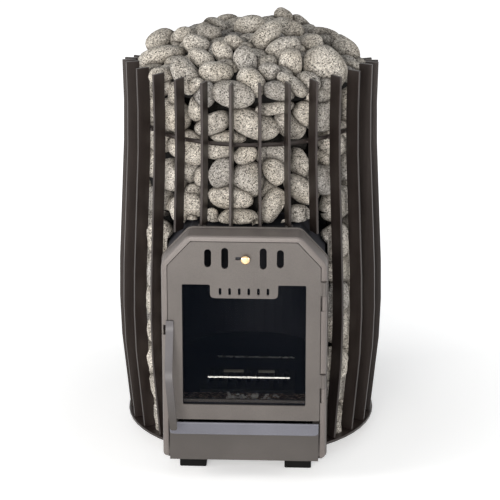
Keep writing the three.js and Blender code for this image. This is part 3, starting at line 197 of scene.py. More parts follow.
# Stones seen through the front bars: the view's left and top pixels and its enlargement, then each stone's
# middle, length and width in that view, its tilt in degrees, and how far it lies behind the others in metres
FRONT_VIEW = (140, 84, 7.127)
FRONT_SEED = 20.3
FRONT_DEPTH_SHARE = 0.72
FRONT_STONES = (
    (652, 97, 320, 205, -5, 0), (1010, 66, 250, 140, -12, 0.002), (978, 186, 287, 98, 5, 0.006),
    (380, 188, 196, 130, 82, 0),
    (490, 302, 296, 160, 28, 0), (610, 394, 270, 92, -3, 0.010), (815, 312, 392, 206, -22, 0),
    (1095, 312, 262, 186, -35, 0.008), (1210, 228, 214, 172, -42, 0), (1345, 228, 190, 110, 88, 0.010),
    (1290, 94, 236, 104, -10, 0.012), (385, 28, 130, 126, 0, 0.004), (520, 492, 250, 130, 5, 0.010),
    (750, 524, 186, 140, 30, 0.012), (970, 520, 286, 174, -5, 0.014), (970, 640, 222, 160, -62, 0),
    (560, 652, 248, 174, 72, 0), (412, 668, 150, 110, 80, 0.010), (775, 700, 268, 230, -60, 0.008),
    (900, 745, 220, 150, -52, 0.018), (630, 834, 328, 178, -5, 0), (690, 968, 284, 118, 3, -0.013),
    (955, 890, 276, 158, 60, -0.010), (1190, 772, 330, 176, -40, 0), (1155, 952, 190, 158, -10, -0.012),
    (1175, 592, 280, 140, -68, 0.010), (1338, 600, 270, 122, 88, 0.006),
    (352, 862, 290, 150, -72, 0.006),
    (505, 955, 130, 92, -70, -0.006), (290, 606, 270, 214, 60, 0.004), (335, 1000, 150, 110, 70, -0.010),
    (345, 470, 108, 84, 80, 0.012), (212, 300, 130, 96, 85, 0.006), (208, 434, 92, 86, 0, 0.010),
    (218, 92, 206, 112, 86, 0.004), (1400, 890, 150, 120, 60, 0.010), (1505, 942, 212, 104, 84, 0),
    (1350, 1010, 110, 86, 70, 0.014), (1480, 740, 200, 90, 86, 0.008), (190, 905, 196, 112, 84, 0.008),
    (192, 1052, 134, 122, 0, 0.004), (1430, 196, 236, 110, 88, 0.008), (1332, 1066, 120, 84, 80, 0.010),
    (840, 1000, 84, 66, 10, -0.014), (1050, 1010, 76, 60, -20, -0.014), (1250, 1016, 96, 70, 15, -0.012),
    (440, 1014, 84, 60, 0, -0.012),
)

# Glow that the camera sees on the floor: from and to a distance from the stove, and its strengths there
FLOOR_GLOW = (0.35, 1.3, 0.42, 0.85)

# Stones behind the front ones, painted near-black as the shade deep in the gaps
COURSE_HEIGHT = 0.056
FILLER_COURSES = 4
FILLER_COUNT = 5
FILLER_ARC = 88
FILLER_SEED = 300
FILLER_INSET = 0.067
FILLER_HALVES = (0.036, 0.030, 0.026)
FILLER_SHADE = 0.0  # painted shade: the stones deep in the gaps take the darkest tint

# Rounded edges of the steel, in metres, and the angles in degrees that tell flats, edges and creases apart
BAR_EASE = 0.0006
PLATE_EASE = 0.0008
GRATE_EASE = 0.0010
FOOT_EASE = 0.0010
KNOB_EASE = 0.0004
HANDLE_EASE = 0.0012
FLAT_ANGLE = 1.0
EDGE_ANGLE = 30
CREASE_ANGLE = 38

# Lamps: place, aim, size in metres, power in watts and colour
LAMPS = {
    "top_softbox": ((0.0, -0.2, 3.3), (0, 0, 0.6), 2.4, 5, (0.72, 0.86, 1.0)),
    "front_softbox": ((-0.6, -3.8, 1.05), (0, 0, 0.5), 2.0, 118, (1.0, 0.975, 0.94)),
    "left_softbox": ((-2.8, -1.0, 1.3), (0, 0, 0.4), 1.3, 44, (1.0, 0.99, 0.97)),
    "right_softbox": ((2.8, -1.0, 1.3), (0, 0, 0.4), 1.3, 28, (1.0, 0.99, 0.97)),
}
ROOM_LIGHT = 0.22
FLOOR_HALF = 9


def smooth_step(share):
    return share * share * (3 - 2 * share)


def cage_radius(z):
    """Outer radius of the bars at a height: a smooth curve through the four sizes."""
    spans = list(zip(CAGE_HEIGHTS, CAGE_RADII))
    for (low_z, low_r), (high_z, high_r) in zip(spans, spans[1:]):
        if z <= high_z:
            share = smooth_step(max(0.0, (z - low_z) / (high_z - low_z)))
            return low_r + (high_r - low_r) * share
    return spans[-1][1]


# Finishes


def new_finish(name, roughness, metallic=0.0):
    finish = bpy.data.materials.new(name)
    finish.use_nodes = True
    tree = finish.node_tree
    shader = tree.nodes["Principled BSDF"]
    shader.inputs["Roughness"].default_value = roughness
    shader.inputs["Metallic"].default_value = metallic
    place = tree.nodes.new("ShaderNodeTexCoord")
    return finish, tree, shader, place.outputs["Object"]


def grain(tree, place, scale, detail=3.0, stretch=None):
    """Noise on the piece's own place, stretched along one axis for brushed or rolled metal."""
    if stretch:
        turn = tree.nodes.new("ShaderNodeMapping")
        turn.inputs["Scale"].default_value = stretch
        tree.links.new(place, turn.inputs["Vector"])
        place = turn.outputs["Vector"]
    texture = tree.nodes.new("ShaderNodeTexNoise")
    texture.inputs["Scale"].default_value = scale
    texture.inputs["Detail"].default_value = detail
    tree.links.new(place, texture.inputs["Vector"])
    return texture.outputs["Fac"]


def ramp(tree, factor, *stops):
    colours = tree.nodes.new("ShaderNodeValToRGB")
    while len(colours.color_ramp.elements) < len(stops):
        colours.color_ramp.elements.new(0.5)
    for element, (position, colour) in zip(colours.color_ramp.elements, stops):
        element.position = position
        element.color = (*colour, 1)
    tree.links.new(factor, colours.inputs["Fac"])
    return colours.outputs["Color"]


def blended(tree, factor, first, second, kind="MIX"):
    mix = tree.nodes.new("ShaderNodeMix")
    mix.data_type = "RGBA"
    mix.blend_type = kind
    if isinstance(factor, float):
        mix.inputs["Factor"].default_value = factor
    else:
        tree.links.new(factor, mix.inputs["Factor"])
    tree.links.new(first, mix.inputs["A"])
    tree.links.new(second, mix.inputs["B"])
    return mix.outputs["Result"]


def bumped(tree, shader, height, strength, distance):
    bump = tree.nodes.new("ShaderNodeBump")
    bump.inputs["Strength"].default_value = strength
    bump.inputs["Distance"].default_value = distance
    tree.links.new(height, bump.inputs["Height"])
    tree.links.new(bump.outputs["Normal"], shader.inputs["Normal"])


def worn_roughness(tree, shader, factor, low, high):
    spread = tree.nodes.new("ShaderNodeMapRange")
    spread.inputs["To Min"].default_value = low
    spread.inputs["To Max"].default_value = high
    tree.links.new(factor, spread.inputs["Value"])
    tree.links.new(spread.outputs["Result"], shader.inputs["Roughness"])


def painted_steel(name, dark, light, roughness, metallic, speckle=900.0, bump=0.06, sheen=0.35):
    """Heat-proof paint: a cloudy coat with a fine sandy grain."""
    finish, tree, shader, place = new_finish(name, roughness, metallic)
    shader.inputs["Specular IOR Level"].default_value = sheen
    cloud = grain(tree, place, 11.0, 4.0)
    sand = grain(tree, place, speckle, 2.0)
    coat = ramp(tree, cloud, (0.3, dark), (0.7, light))
    flecks = ramp(tree, sand, (0.30, (0.80, 0.80, 0.80)), (0.62, (1.08, 1.06, 1.04)))
    tree.links.new(blended(tree, 0.7, coat, flecks, "MULTIPLY"), shader.inputs["Base Color"])
    worn_roughness(tree, shader, cloud, roughness - 0.07, roughness + 0.09)
    bumped(tree, shader, sand, bump, 0.0006)
    return finish


def painted_light_and_shade(finish, edge_z, below, above, fade=0.006):
    """Painted light on a coat: painted shade below a height, fading in over a span, and a painted highlight
    of the room's light above it.
    """
    tree = finish.node_tree
    shader = tree.nodes["Principled BSDF"]
    coat = shader.inputs["Base Color"].links[0].from_socket
    place = tree.nodes.new("ShaderNodeTexCoord")
    split = tree.nodes.new("ShaderNodeSeparateXYZ")
    tree.links.new(place.outputs["Object"], split.inputs["Vector"])
    height = tree.nodes.new("ShaderNodeMapRange")
    height.inputs["From Min"].default_value = edge_z - fade
    height.inputs["From Max"].default_value = edge_z
    tree.links.new(split.outputs["Z"], height.inputs["Value"])
    # painted shade below the height, painted highlight above it
    shade = ramp(tree, height.outputs["Result"], (0.0, below), (1.0, above))
    tree.links.new(blended(tree, 1.0, coat, shade, "MULTIPLY"), shader.inputs["Base Color"])
    return finish


def rolled_bar_steel():
    """Dark brown-black bars with faint streaks along their length."""
    finish, tree, shader, place = new_finish("bar_steel", 0.40, 0.25)
    streaks = grain(tree, place, 46.0, 4.0, (1.0, 1.0, 0.06))
    sand = grain(tree, place, 700.0, 2.0)
    coat = ramp(
        tree, streaks,
        (0.28, (0.018, 0.0125, 0.011)), (0.55, (0.029, 0.0215, 0.019)), (0.8, (0.050, 0.040, 0.037)),
    )
    flecks = ramp(tree, sand, (0.3, (0.8, 0.8, 0.8)), (0.65, (1.15, 1.12, 1.1)))
    tree.links.new(blended(tree, 0.6, coat, flecks, "MULTIPLY"), shader.inputs["Base Color"])
    worn_roughness(tree, shader, streaks, 0.32, 0.48)
    bumped(tree, shader, sand, 0.08, 0.0005)
    return finish


def bare_steel(name, colour, roughness):
    finish, tree, shader, place = new_finish(name, roughness, 1.0)
    turning = grain(tree, place, 160.0, 3.0, (1.0, 6.0, 1.0))
    low = tuple(0.78 * channel for channel in colour)
    tree.links.new(ramp(tree, turning, (0.3, low), (0.7, colour)), shader.inputs["Base Color"])
    worn_roughness(tree, shader, turning, roughness - 0.06, roughness + 0.10)
    return finish


def raw_casting():
    finish, tree, shader, place = new_finish("cast_iron", 0.7, 0.5)
    lumps = grain(tree, place, 240.0, 5.0)
    coat = ramp(tree, lumps, (0.3, (0.018, 0.018, 0.020)), (0.75, (0.05, 0.047, 0.046)))
    tree.links.new(coat, shader.inputs["Base Color"])
    bumped(tree, shader, lumps, 0.35, 0.0012)
    return finish


def clear_ceramic_glass():
    """Thin dark glass: mostly clear, with a faint smoky film."""
    finish, tree, shader, place = new_finish("ceramic_glass", 0.05)
    shader.inputs["Alpha"].default_value = 0.24
    shader.inputs["Specular IOR Level"].default_value = 0.02
    smears = grain(tree, place, 9.0, 5.0)
    film = ramp(tree, smears, (0.35, (0.004, 0.006, 0.010)), (0.75, (0.008, 0.010, 0.015)))
    tree.links.new(film, shader.inputs["Base Color"])
    worn_roughness(tree, shader, smears, 0.02, 0.08)
    return finish


def scaled_steel():
    """Hearth steel burnt brown and black, scraped bright in spots, the brightest pushed past white as
    painted glints.
    """
    finish, tree, shader, place = new_finish("scaled_steel", 0.35, 0.35)
    crust = grain(tree, place, 34.0, 6.0)
    scrapes = grain(tree, place, 240.0, 4.0, (0.5, 1.6, 1.0))
    burnt = ramp(
        tree, crust, (0.34, (0.15, 0.13, 0.12)), (0.55, (0.38, 0.28, 0.22)), (0.72, (0.26, 0.235, 0.22)),
    )
    # bright scraped spots, their colour pushed past white as painted glints
    scrapes_and_glints = ramp(tree, scrapes, (0.52, (0.55, 0.52, 0.50)), (0.64, (3.6, 3.5, 3.3)))
    tree.links.new(blended(tree, 1.0, burnt, scrapes_and_glints, "MULTIPLY"), shader.inputs["Base Color"])
    worn_roughness(tree, shader, crust, 0.22, 0.5)
    bumped(tree, shader, scrapes, 0.6, 0.0012)
    return finish


def woven_rope():
    finish, tree, shader, place = new_finish("rope_seal", 0.95)
    weave = tree.nodes.new("ShaderNodeTexWave")
    weave.inputs["Scale"].default_value = 160.0
    weave.inputs["Distortion"].default_value = 2.0
    tree.links.new(place, weave.inputs["Vector"])
    strands = weave.outputs["Fac"]
    yarn = ramp(tree, strands, (0.2, (0.07, 0.066, 0.062)), (0.8, (0.16, 0.15, 0.14)))
    tree.links.new(yarn, shader.inputs["Base Color"])
    bumped(tree, shader, strands, 0.5, 0.001)
    return finish


def speckled_granite():
    """Tumbled granite: white, beige and black grains, each stone with its own tint, and painted shade in the
    nooks where stones touch.
    """
    finish, tree, shader, place = new_finish("granite", 0.82)
    shader.inputs["Specular IOR Level"].default_value = 0.2
    crystals = tree.nodes.new("ShaderNodeTexVoronoi")
    crystals.inputs["Scale"].default_value = 520.0
    tree.links.new(place, crystals.inputs["Vector"])
    separate = tree.nodes.new("ShaderNodeSeparateColor")
    tree.links.new(crystals.outputs["Color"], separate.inputs["Color"])
    grains = ramp(
        tree, separate.outputs["Red"],
        (0.00, (0.06, 0.056, 0.054)), (0.12, (0.17, 0.16, 0.15)), (0.24, (0.36, 0.345, 0.325)),
        (0.55, (0.50, 0.48, 0.455)), (0.82, (0.64, 0.62, 0.59)), (1.00, (0.86, 0.84, 0.80)),
    )
    fine = grain(tree, place, 760.0, 3.0)
    salt = ramp(
        tree, fine, (0.36, (0.50, 0.49, 0.48)), (0.5, (1.0, 0.99, 0.98)), (0.66, (1.25, 1.24, 1.22)),
    )
    stone = blended(tree, 0.65, grains, salt, "MULTIPLY")
    veins = grain(tree, place, 20.0, 5.0)
    stains = ramp(tree, veins, (0.32, (0.78, 0.75, 0.70)), (0.60, (1.04, 1.03, 1.02)))
    stone = blended(tree, 0.8, stone, stains, "MULTIPLY")
    own = tree.nodes.new("ShaderNodeAttribute")
    own.attribute_name = "tint"
    # the first stop, near-black, is painted shade for the fillers and the heap cores; the other stones draw
    # a tone from the rest
    tint = ramp(
        tree, own.outputs["Fac"],
        (0.0, (0.05, 0.048, 0.046)), (0.2, (0.72, 0.72, 0.73)),
        (0.6, (1.0, 0.975, 0.93)), (1.0, (1.14, 1.11, 1.06)),
    )
    stone = blended(tree, 1.0, stone, tint, "MULTIPLY")
    # painted shade: darker where a neighbour touches the stone, by the nook value
    nook = tree.nodes.new("ShaderNodeAttribute")
    nook.attribute_name = "nook"
    nook_shade = ramp(
        tree, nook.outputs["Fac"],
        (0.0, (0.10, 0.095, 0.09)), (0.45, (0.62, 0.61, 0.60)), (1.0, (1.0, 1.0, 1.0)),
    )
    tree.links.new(blended(tree, 1.0, stone, nook_shade, "MULTIPLY"), shader.inputs["Base Color"])
    pits = blended(tree, 0.5, fine, veins)
    bumped(tree, shader, pits, 0.22, 0.0016)
    return finish


# Coats, darkest and lightest, in linear colour, and the heights in metres where painted shade gives way to
# painted highlight
GREY_COAT = (0.102, 0.091, 0.085), (0.124, 0.111, 0.104)
# a lighter copy of the grey coat: painted light on the collar
COLLAR_LIT_COAT = (0.145, 0.127, 0.120), (0.174, 0.155, 0.147)
FIREBOX_COAT = (0.016, 0.017, 0.023), (0.034, 0.034, 0.042)
FOOT_COAT = (0.002, 0.002, 0.002), (0.005, 0.005, 0.005)
# pale ash, pale enough to stand in for glints on the sheet as well
ASH_AND_GLINT_COAT = (0.55, 0.54, 0.52), (0.86, 0.85, 0.82)
BRICK_COAT = (0.20, 0.19, 0.15), (0.34, 0.32, 0.26)
DRAWER_LIP_Z = 0.1005
HANDLE_SHEEN_Z = 0.270
HANDLE_FADE = 0.150
FINISHES = {
    "bar_steel": rolled_bar_steel(),
    "grey_paint": painted_steel("grey_paint", *GREY_COAT, 0.42, 0.10),
    "collar_lit_paint": painted_steel("collar_lit_paint", *COLLAR_LIT_COAT, 0.42, 0.10),
    # painted shade on the drawer's face under its lip, and a painted bluish highlight on the lip
    "drawer_painted_light": painted_light_and_shade(
        painted_steel("drawer_painted_light", *GREY_COAT, 0.42, 0.10),
        DRAWER_LIP_Z, (0.66, 0.66, 0.66), (1.51, 1.71, 2.13),
    ),
    # painted bluish highlight on the upper handle, fading into painted shade on its lower part
    "handle_painted_light": painted_light_and_shade(
        painted_steel("handle_painted_light", *GREY_COAT, 0.40, 0.10),
        HANDLE_SHEEN_Z, (0.46, 0.45, 0.43), (0.88, 0.93, 1.06), HANDLE_FADE,
    ),
    "firebox_steel": painted_steel("firebox_steel", *FIREBOX_COAT, 0.62, 0.3, bump=0.04),
    "bright_steel": bare_steel("bright_steel", (0.80, 0.73, 0.62), 0.26),
    "knob_steel": bare_steel("knob_steel", (0.78, 0.56, 0.32), 0.22),
    "worn_steel": bare_steel("worn_steel", (0.80, 0.79, 0.75), 0.26),
    "cast_iron": raw_casting(),
    "foot_black": painted_steel("foot_black", *FOOT_COAT, 0.55, 0.0, sheen=0.1),
    "ceramic_glass": clear_ceramic_glass(),
    "rope_seal": woven_rope(),
    "granite": speckled_granite(),
    "scaled_steel": scaled_steel(),
    "pale_ash_and_glint": painted_steel("pale_ash_and_glint", *ASH_AND_GLINT_COAT, 0.7, 0.0, 500.0, 0.3),
    "pale_firebrick": painted_steel("pale_firebrick", *BRICK_COAT, 0.8, 0.0, 500.0, 0.3),
}
SLOTS = {part["node"]: part["material_slot"] for part in frame["record"]["subparts"]}
BLUED_NODES = ("catch_spring", "hinge_pin_lower", "hinge_pin_upper")  # darkened by the heat


# Making pieces


def mark_creases(work, rounded):
    """Smooth shading, with creases where faces meet at an angle or a rounded edge meets a flat."""
    for face in work.faces:
        face.smooth = True
    for edge in work.edges:
        if len(edge.link_faces) == 2:
            first, second = edge.link_faces
            meets_flat = (first in rounded) != (second in rounded)
            edge.smooth = not meets_flat and edge.calc_face_angle() < radians(CREASE_ANGLE)


def settle(name, work, slot, body, *nodes, finish=None, rounded=frozenset()):
    """Turns a finished bmesh into a piece that rides on its body and stands for its nodes."""
    mark_creases(work, rounded)
    mesh = bpy.data.meshes.new(name)
    work.to_mesh(mesh)
    work.free()
    mesh.materials.append(FINISHES[finish or slot])
    piece = bpy.data.objects.new(name, mesh)
    bpy.context.scene.collection.objects.link(piece)
    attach(piece, body)
    if nodes:
        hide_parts(*nodes)


def body_of_node(node):
    for body, members in frame["record"]["behaviour"]["bodies"].items():
        if node in members:
            return body
    raise KeyError(node)


def merged_copy(node):
    work = bmesh.new()
    work.from_mesh(frame["nodes"][node].data)
    bmesh.ops.remove_doubles(work, verts=work.verts, dist=1e-5)
    return work


def ease_edges(node, width, finish=None):
    """A steel node with its sharp edges rounded, as folded, cut and painted steel has them."""
    work = merged_copy(node)
    bmesh.ops.dissolve_limit(work, angle_limit=radians(FLAT_ANGLE), verts=work.verts, edges=work.edges)
    sharp = [e for e in work.edges if len(e.link_faces) == 2 and e.calc_face_angle() > radians(EDGE_ANGLE)]
    eased = bmesh.ops.bevel(
        work, geom=sharp, offset=width, offset_type="OFFSET", affect="EDGES", segments=2, profile=0.5,
        material=-1, clamp_overlap=True,
    )
    rounded = frozenset(eased["faces"])
    body = body_of_node(node)
    settle(f"{node}_eased", work, SLOTS[node], body, node, finish=finish, rounded=rounded)


# Camera


def aim_camera():
    data = bpy.data.cameras.new("camera")
    data.sensor_width = 36
    data.lens = FOCAL_PIXELS / PICTURE * data.sensor_width
    data.shift_x = (PICTURE / 2 - PICTURE_MIDDLE[0]) / PICTURE
    data.shift_y = (PICTURE_MIDDLE[1] - PICTURE / 2) / PICTURE
    data.clip_end = 50
    camera = bpy.data.objects.new("camera", data)
    turn = radians(CAMERA_SIDE_TURN)
    camera.location = (CAMERA_DISTANCE * sin(turn), -CAMERA_DISTANCE * cos(turn), CAMERA_HEIGHT)
    camera.rotation_euler = (radians(90 - CAMERA_DOWN_TILT), 0, turn)
    bpy.context.scene.collection.objects.link(camera)
    bpy.context.scene.camera = camera
    bpy.context.view_layer.update()
    return camera


CAMERA = aim_camera()
EYE = CAMERA.matrix_world.translation.copy()
RIGHT, UP, BACK = (CAMERA.matrix_world.to_3x3().col[i].copy() for i in range(3))


def sight_line(x, y):
    """Direction from the camera through a pixel of the picture."""
    across = (x - PICTURE_MIDDLE[0]) / FOCAL_PIXELS
    down = (y - PICTURE_MIDDLE[1]) / FOCAL_PIXELS
    return (RIGHT * across - UP * down - BACK).normalized()


# Stones


Stone = namedtuple("Stone", "middle axes halves seed limit rings shade", defaults=(3, None))


def openness(point, near):
    """Nought where a neighbour touches a stone's skin, rising to one out of its shade."""
    gaps = [(to_ball @ (point - middle)).length - 1 for middle, to_ball in near]
    return min(1.0, max(0.0, min(gaps, default=1.0) / NOOK_REACH))


def as_ball(stone):
    """Where a stone lies, with the turn that makes it a ball of radius one."""
    return stone.middle, Matrix.Diagonal([1 / half for half in stone.halves]) @ Matrix(stone.axes)


def neighbours(stone, stones):
    near = []
    for other in stones:
        reach = max(stone.halves) + max(other.halves) * (1 + NOOK_REACH)
        if other is not stone and (stone.middle - other.middle).length < reach:
            near.append(as_ball(other))
    return near


def pebble(work, stone, near):
    """One tumbled stone: a ball drawn out to its half sizes, squared and dented, inside its limit."""
    made = bmesh.ops.create_icosphere(work, subdivisions=stone.rings, radius=1.0)["verts"]
    shift = Vector((stone.seed * 1.37, stone.seed * 0.61, stone.seed * 2.11))
    axes = Matrix(stone.axes).transposed()
    tint = work.verts.layers.float["tint"]
    nook = work.verts.layers.float["nook"]
    shade = stone.shade
    if shade is None:
        shade = TINT_MIDDLE + TINT_SPREAD * noise.cell(shift * 3.3)
    for vert in made:
        way = vert.co.normalized()
        squared = Vector(tuple(abs(c) ** SQUARENESS * (1 if c > 0 else -1) for c in way))
        dents = 1
        for depth, fineness in (BROAD_DENTS, FINE_DENTS):
            dents += depth * noise.noise(way * fineness + shift)
        drawn = Vector(tuple(c * half * dents for c, half in zip(squared, stone.halves)))
        vert.co = stone.limit(stone.middle + axes @ drawn, stone.middle)
        vert[tint] = shade
        # painted shade where a neighbour touches the stone
        vert[nook] = openness(vert.co, near)


def pebble_piece(name, stones, all_stones, *nodes):
    work = bmesh.new()
    for layer in ("tint", "nook"):
        work.verts.layers.float.new(layer)
    for stone in stones:
        pebble(work, stone, neighbours(stone, all_stones))
    settle(name, work, "granite", "stove", *nodes)


def bar_gap(point, radius):
    """Nought behind a bar, rising to one in the gap between two bars."""
    step = 2 * pi / BAR_COUNT
    off_bar = abs(atan2(point.x, -point.y) / step % 1 - 0.5) * step * radius
    return smooth_step(min(1.0, max(0.0, (off_bar - BAR_KEEPOUT) / GAP_SLOPE)))


def inside_cage(point, middle):
    """Holds a stone's skin inside the bars and off the hoop and the firebox."""
    radius = sqrt(point.x ** 2 + point.y ** 2)
    room = cage_radius(point.z) - BAR_DEPTH - STONE_CLEARANCE + GAP_BULGE * bar_gap(point, radius)
    if abs(point.z - HOOP_Z) < HOOP_REACH:
        room = min(room, HOOP_RADIUS - HOOP_ROOM)
    if radius > room:
        point = Vector((point.x * room / radius, point.y * room / radius, point.z))
    core = FIREBOX_RADIUS + STONE_CLEARANCE
    if point.z < FIREBOX_TOP_Z + STONE_CLEARANCE and 0 < radius < core:
        point = Vector((point.x * core / radius, point.y * core / radius, point.z))
    return point


def throat_half(z):
    """Half the width, at a height, of the throat that joins the firebox to the front plate."""
    rise = (z - THROAT_SHOULDER_Z) / (THROAT_TOP_Z - THROAT_SHOULDER_Z)
    if rise >= 1:
        return 0.0
    return THROAT_HALF - (THROAT_HALF - THROAT_TOP_HALF) * max(0.0, rise) + STONE_CLEARANCE


def in_throat(point):
    return point.y < 0 and abs(point.x) < throat_half(point.z)


def beside_throat(point, middle):
    """Holds a stone's skin beside the throat, drawn back towards the stone's middle."""
    point = inside_cage(point, middle)
    if in_throat(point):
        room = max(0.0, abs(middle.x) - throat_half(point.z))
        point = middle + (point - middle) * room / max(room, abs(middle.x) - abs(point.x), 1e-6)
    return point


def beside_flue(point, middle):
    """Holds a stone's skin off the flue."""
    point = inside_cage(point, middle)
    away = Vector((point.x, 0, point.z - FLUE_Z))
    room = FLUE_RADIUS + STONE_CLEARANCE
    if point.y > 0 and 0 < away.length < room:
        point = point + away * (room / away.length - 1)
    return point


def clear_of_throat(point, middle):
    """Holds a stone's skin over the throat."""
    point = inside_cage(point, middle)
    if point.z < THROAT_TOP_Z + THROAT_STONE_RISE:
        point.z = THROAT_TOP_Z + THROAT_STONE_RISE
    return point


def cage_hit(way, depth):
    """Where a line of sight meets the heap behind the bars, at a depth behind them."""
    for step in range(SIGHT_STEPS):
        point = EYE + way * (SIGHT_START + SIGHT_STEP * step)
        room = cage_radius(point.z) - BAR_DEPTH - STONE_CLEARANCE - depth
        if point.x ** 2 + point.y ** 2 <= room ** 2:
            return point
    raise ValueError("the line of sight misses the cage")


def seen_halves(surface, enlargement, length, width):
    metres = (surface - EYE).length / FOCAL_PIXELS / enlargement
    return 0.5 * length * metres, 0.5 * width * metres


def turned(first, second, lean):
    return first * cos(lean) + second * sin(lean), second * cos(lean) - first * sin(lean)


def stone_behind_bars(row, seed):
    """A stone seen through the bars, lying along the inside of the cage."""
    left, top, enlargement = FRONT_VIEW
    x, y, length, width, tilt, depth = row
    surface = cage_hit(sight_line(left + x / enlargement, top + y / enlargement), depth)
    long_half, short_half = seen_halves(surface, enlargement, length, width)
    depth_half = 0.5 * FRONT_DEPTH_SHARE * (long_half + short_half)
    out = Vector((surface.x, surface.y, 0)).normalized()
    side = Vector((-out.y, out.x, 0))
    axes = (*turned(side, Vector((0, 0, 1)), radians(tilt)), out)
    middle = surface - out * depth_half
    return Stone(middle, axes, (long_half, short_half, depth_half), seed, clear_of_throat)


def dice(seed):
    """The draws that the solids use, so that each pebble lies over its solid."""
    state = seed
    while True:
        state = state * 16807 % 2147483647
        yield state / 2147483647


def course_stone(roll, middle, angle, half_sizes, seed, limit):
    """A stone of a course or ring, turned to face outwards."""
    radial, wide, tall = half_sizes
    wide *= LEAST_SIZE + SIZE_SPREAD * next(roll)
    tall *= LEAST_SIZE + SIZE_SPREAD * next(roll)
    lean = LEAN_SPREAD * (0.5 - next(roll))
    out = Vector((sin(angle), -cos(angle), 0))
    side = Vector((cos(angle), sin(angle), 0))
    axes = (*turned(side, Vector((0, 0, 1)), lean), out)
    return Stone(middle, axes, (wide, tall, radial), seed, limit)


def front_stones():
    """The stones seen through the front bars, with stones behind them painted near-black as shade."""
    stones = [stone_behind_bars(row, FRONT_SEED + i) for i, row in enumerate(FRONT_STONES)]
    seed = FILLER_SEED
    for course in range(FILLER_COURSES):
        z = THROAT_TOP_Z + (course + 0.5) * COURSE_HEIGHT
        radius = cage_radius(z) - BAR_DEPTH - FILLER_INSET
        for i in range(FILLER_COUNT):
            seed += 1
            angle = radians(FILLER_ARC * ((i + 0.25 + 0.5 * (course % 2)) / FILLER_COUNT - 0.5))
            out = Vector((sin(angle), -cos(angle), 0))
            axes = (Vector((cos(angle), sin(angle), 0)), Vector((0, 0, 1)), out)
            middle = out * radius + Vector((0, 0, z))
            stones.append(Stone(middle, axes, FILLER_HALVES, seed, clear_of_throat, 2, FILLER_SHADE))
    return stones


def heap_shade_core(node):
    """Painted shade in the depth of a heap: its solid, drawn in a little under the pebbles and left
    near-black.
    """
    work = merged_copy(node)
    work.normal_update()
    places = [vert.co - vert.normal * CORE_DEPTH for vert in work.verts]
    for vert, place in zip(work.verts, places):
        vert.co = place
        if node != "stones_crown":
            vert.co.y = max(vert.co.y, CORE_FRONT_Y)
    settle(f"{node}_core", work, "granite", "stove", node)


def bed_stones(from_angle, to_angle, seed, limit):
    """Courses of stones behind the bars between two angles from the front, in degrees."""
    stones = []
    roll = dice(seed)
    courses = round((BED_TOP_Z - STAND_Z) / STONE_COURSE)
    height = (BED_TOP_Z - STAND_Z) / courses
    for course in range(courses):
        z = STAND_Z + (course + 0.5) * height
        radius = cage_radius(z) - BAR_DEPTH - BED_CLEARANCE - STONE_HALVES[0] + BED_BULGE
        count = round(radians(to_angle - from_angle) * radius / STONE_SPREAD)
        for i in range(count + 1):
            seed += 1
            angle = radians(from_angle + (to_angle - from_angle) * (i + 0.5 * (course % 2)) / count)
            lift = (next(roll) - 0.5) * height * LIFT_SPREAD
            middle = Vector((radius * sin(angle), -radius * cos(angle), z + lift))
            if in_throat(middle):
                middle.x = copysign(throat_half(middle.z) + THROAT_STONE_STEP, middle.x)
            stones.append(course_stone(roll, middle, angle, STONE_HALVES, seed, limit))
    return stones


def crown_stones():
    """The heap over the bars: the stones that the photograph shows, with rings of stones behind them."""
    stones = []
    lean = radians(CROWN_LEAN)
    up = Vector((0, sin(lean), cos(lean)))
    back = Vector((0, -cos(lean), sin(lean)))
    for i, (x, y, rise, length, width, tilt) in enumerate(CROWN_STONES + CROWN_EXTRA_STONES):
        middle = Vector((x, y, rise)) / 1000 + Vector((0, 0, CAGE_HEIGHTS[-1]))
        axes = (*turned(Vector((1, 0, 0)), up, radians(tilt)), back)
        sizes = (0.5 * length, 0.5 * width, 0.5 * CROWN_DEPTH_SHARE * (length + width))
        halves = tuple(half / 1000 for half in sizes)
        stones.append(Stone(middle, axes, halves, CROWN_SEED + i, inside_cage))
    roll = dice(CROWN_REAR_DICE)
    seed = CROWN_REAR_SEED
    for radius, count in CROWN_REAR_RINGS:
        z = CROWN_Z - CROWN_FALL * (radius / CROWN_RADIUS) ** 2
        for i in range(count):
            seed += 1
            angle = pi + radians(CROWN_REAR_ARC) * ((i + 0.5) / count - 0.5)
            middle = Vector((radius * sin(angle), -radius * cos(angle), z))
            stones.append(course_stone(roll, middle, angle, CROWN_REAR_STONE, seed, inside_cage))
    return stones


def crown_fill(stones):
    """Small stones in the bare spots of the crown and round its rim."""
    fill = []
    balls = [as_ball(stone) for stone in stones]

    def fill_bare_spot(stone):
        if all((to_ball @ (stone.middle - other)).length > FILL_ROOM for other, to_ball in balls):
            fill.append(stone)
            balls.append(as_ball(stone))

    for i in range(FILL_TRIES):
        radius = CROWN_RADIUS * sqrt((i + 0.5) / FILL_TRIES)
        angle = pi * (3 - sqrt(5)) * i
        z = CROWN_Z - CROWN_FALL * (radius / CROWN_RADIUS) ** 2 - FILL_SINK
        middle = Vector((radius * sin(angle), -radius * cos(angle), z))
        axes = (*turned(Vector((1, 0, 0)), Vector((0, 1, 0)), FILL_TURN * i), Vector((0, 0, 1)))
        fill_bare_spot(Stone(middle, axes, FILL_HALVES, FILL_SEED + i, inside_cage))
    for i in range(RIM_TRIES):
        angle = 2 * pi * i / RIM_TRIES
        out = Vector((sin(angle), -cos(angle), 0))
        middle = out * RIM_RADIUS + Vector((0, 0, RIM_Z))
        axes = (*turned(Vector((cos(angle), sin(angle), 0)), Vector((0, 0, 1)), RIM_TURN * i), out)
        fill_bare_spot(Stone(middle, axes, FILL_HALVES, RIM_SEED + i, inside_cage))
    return fill


# Welds


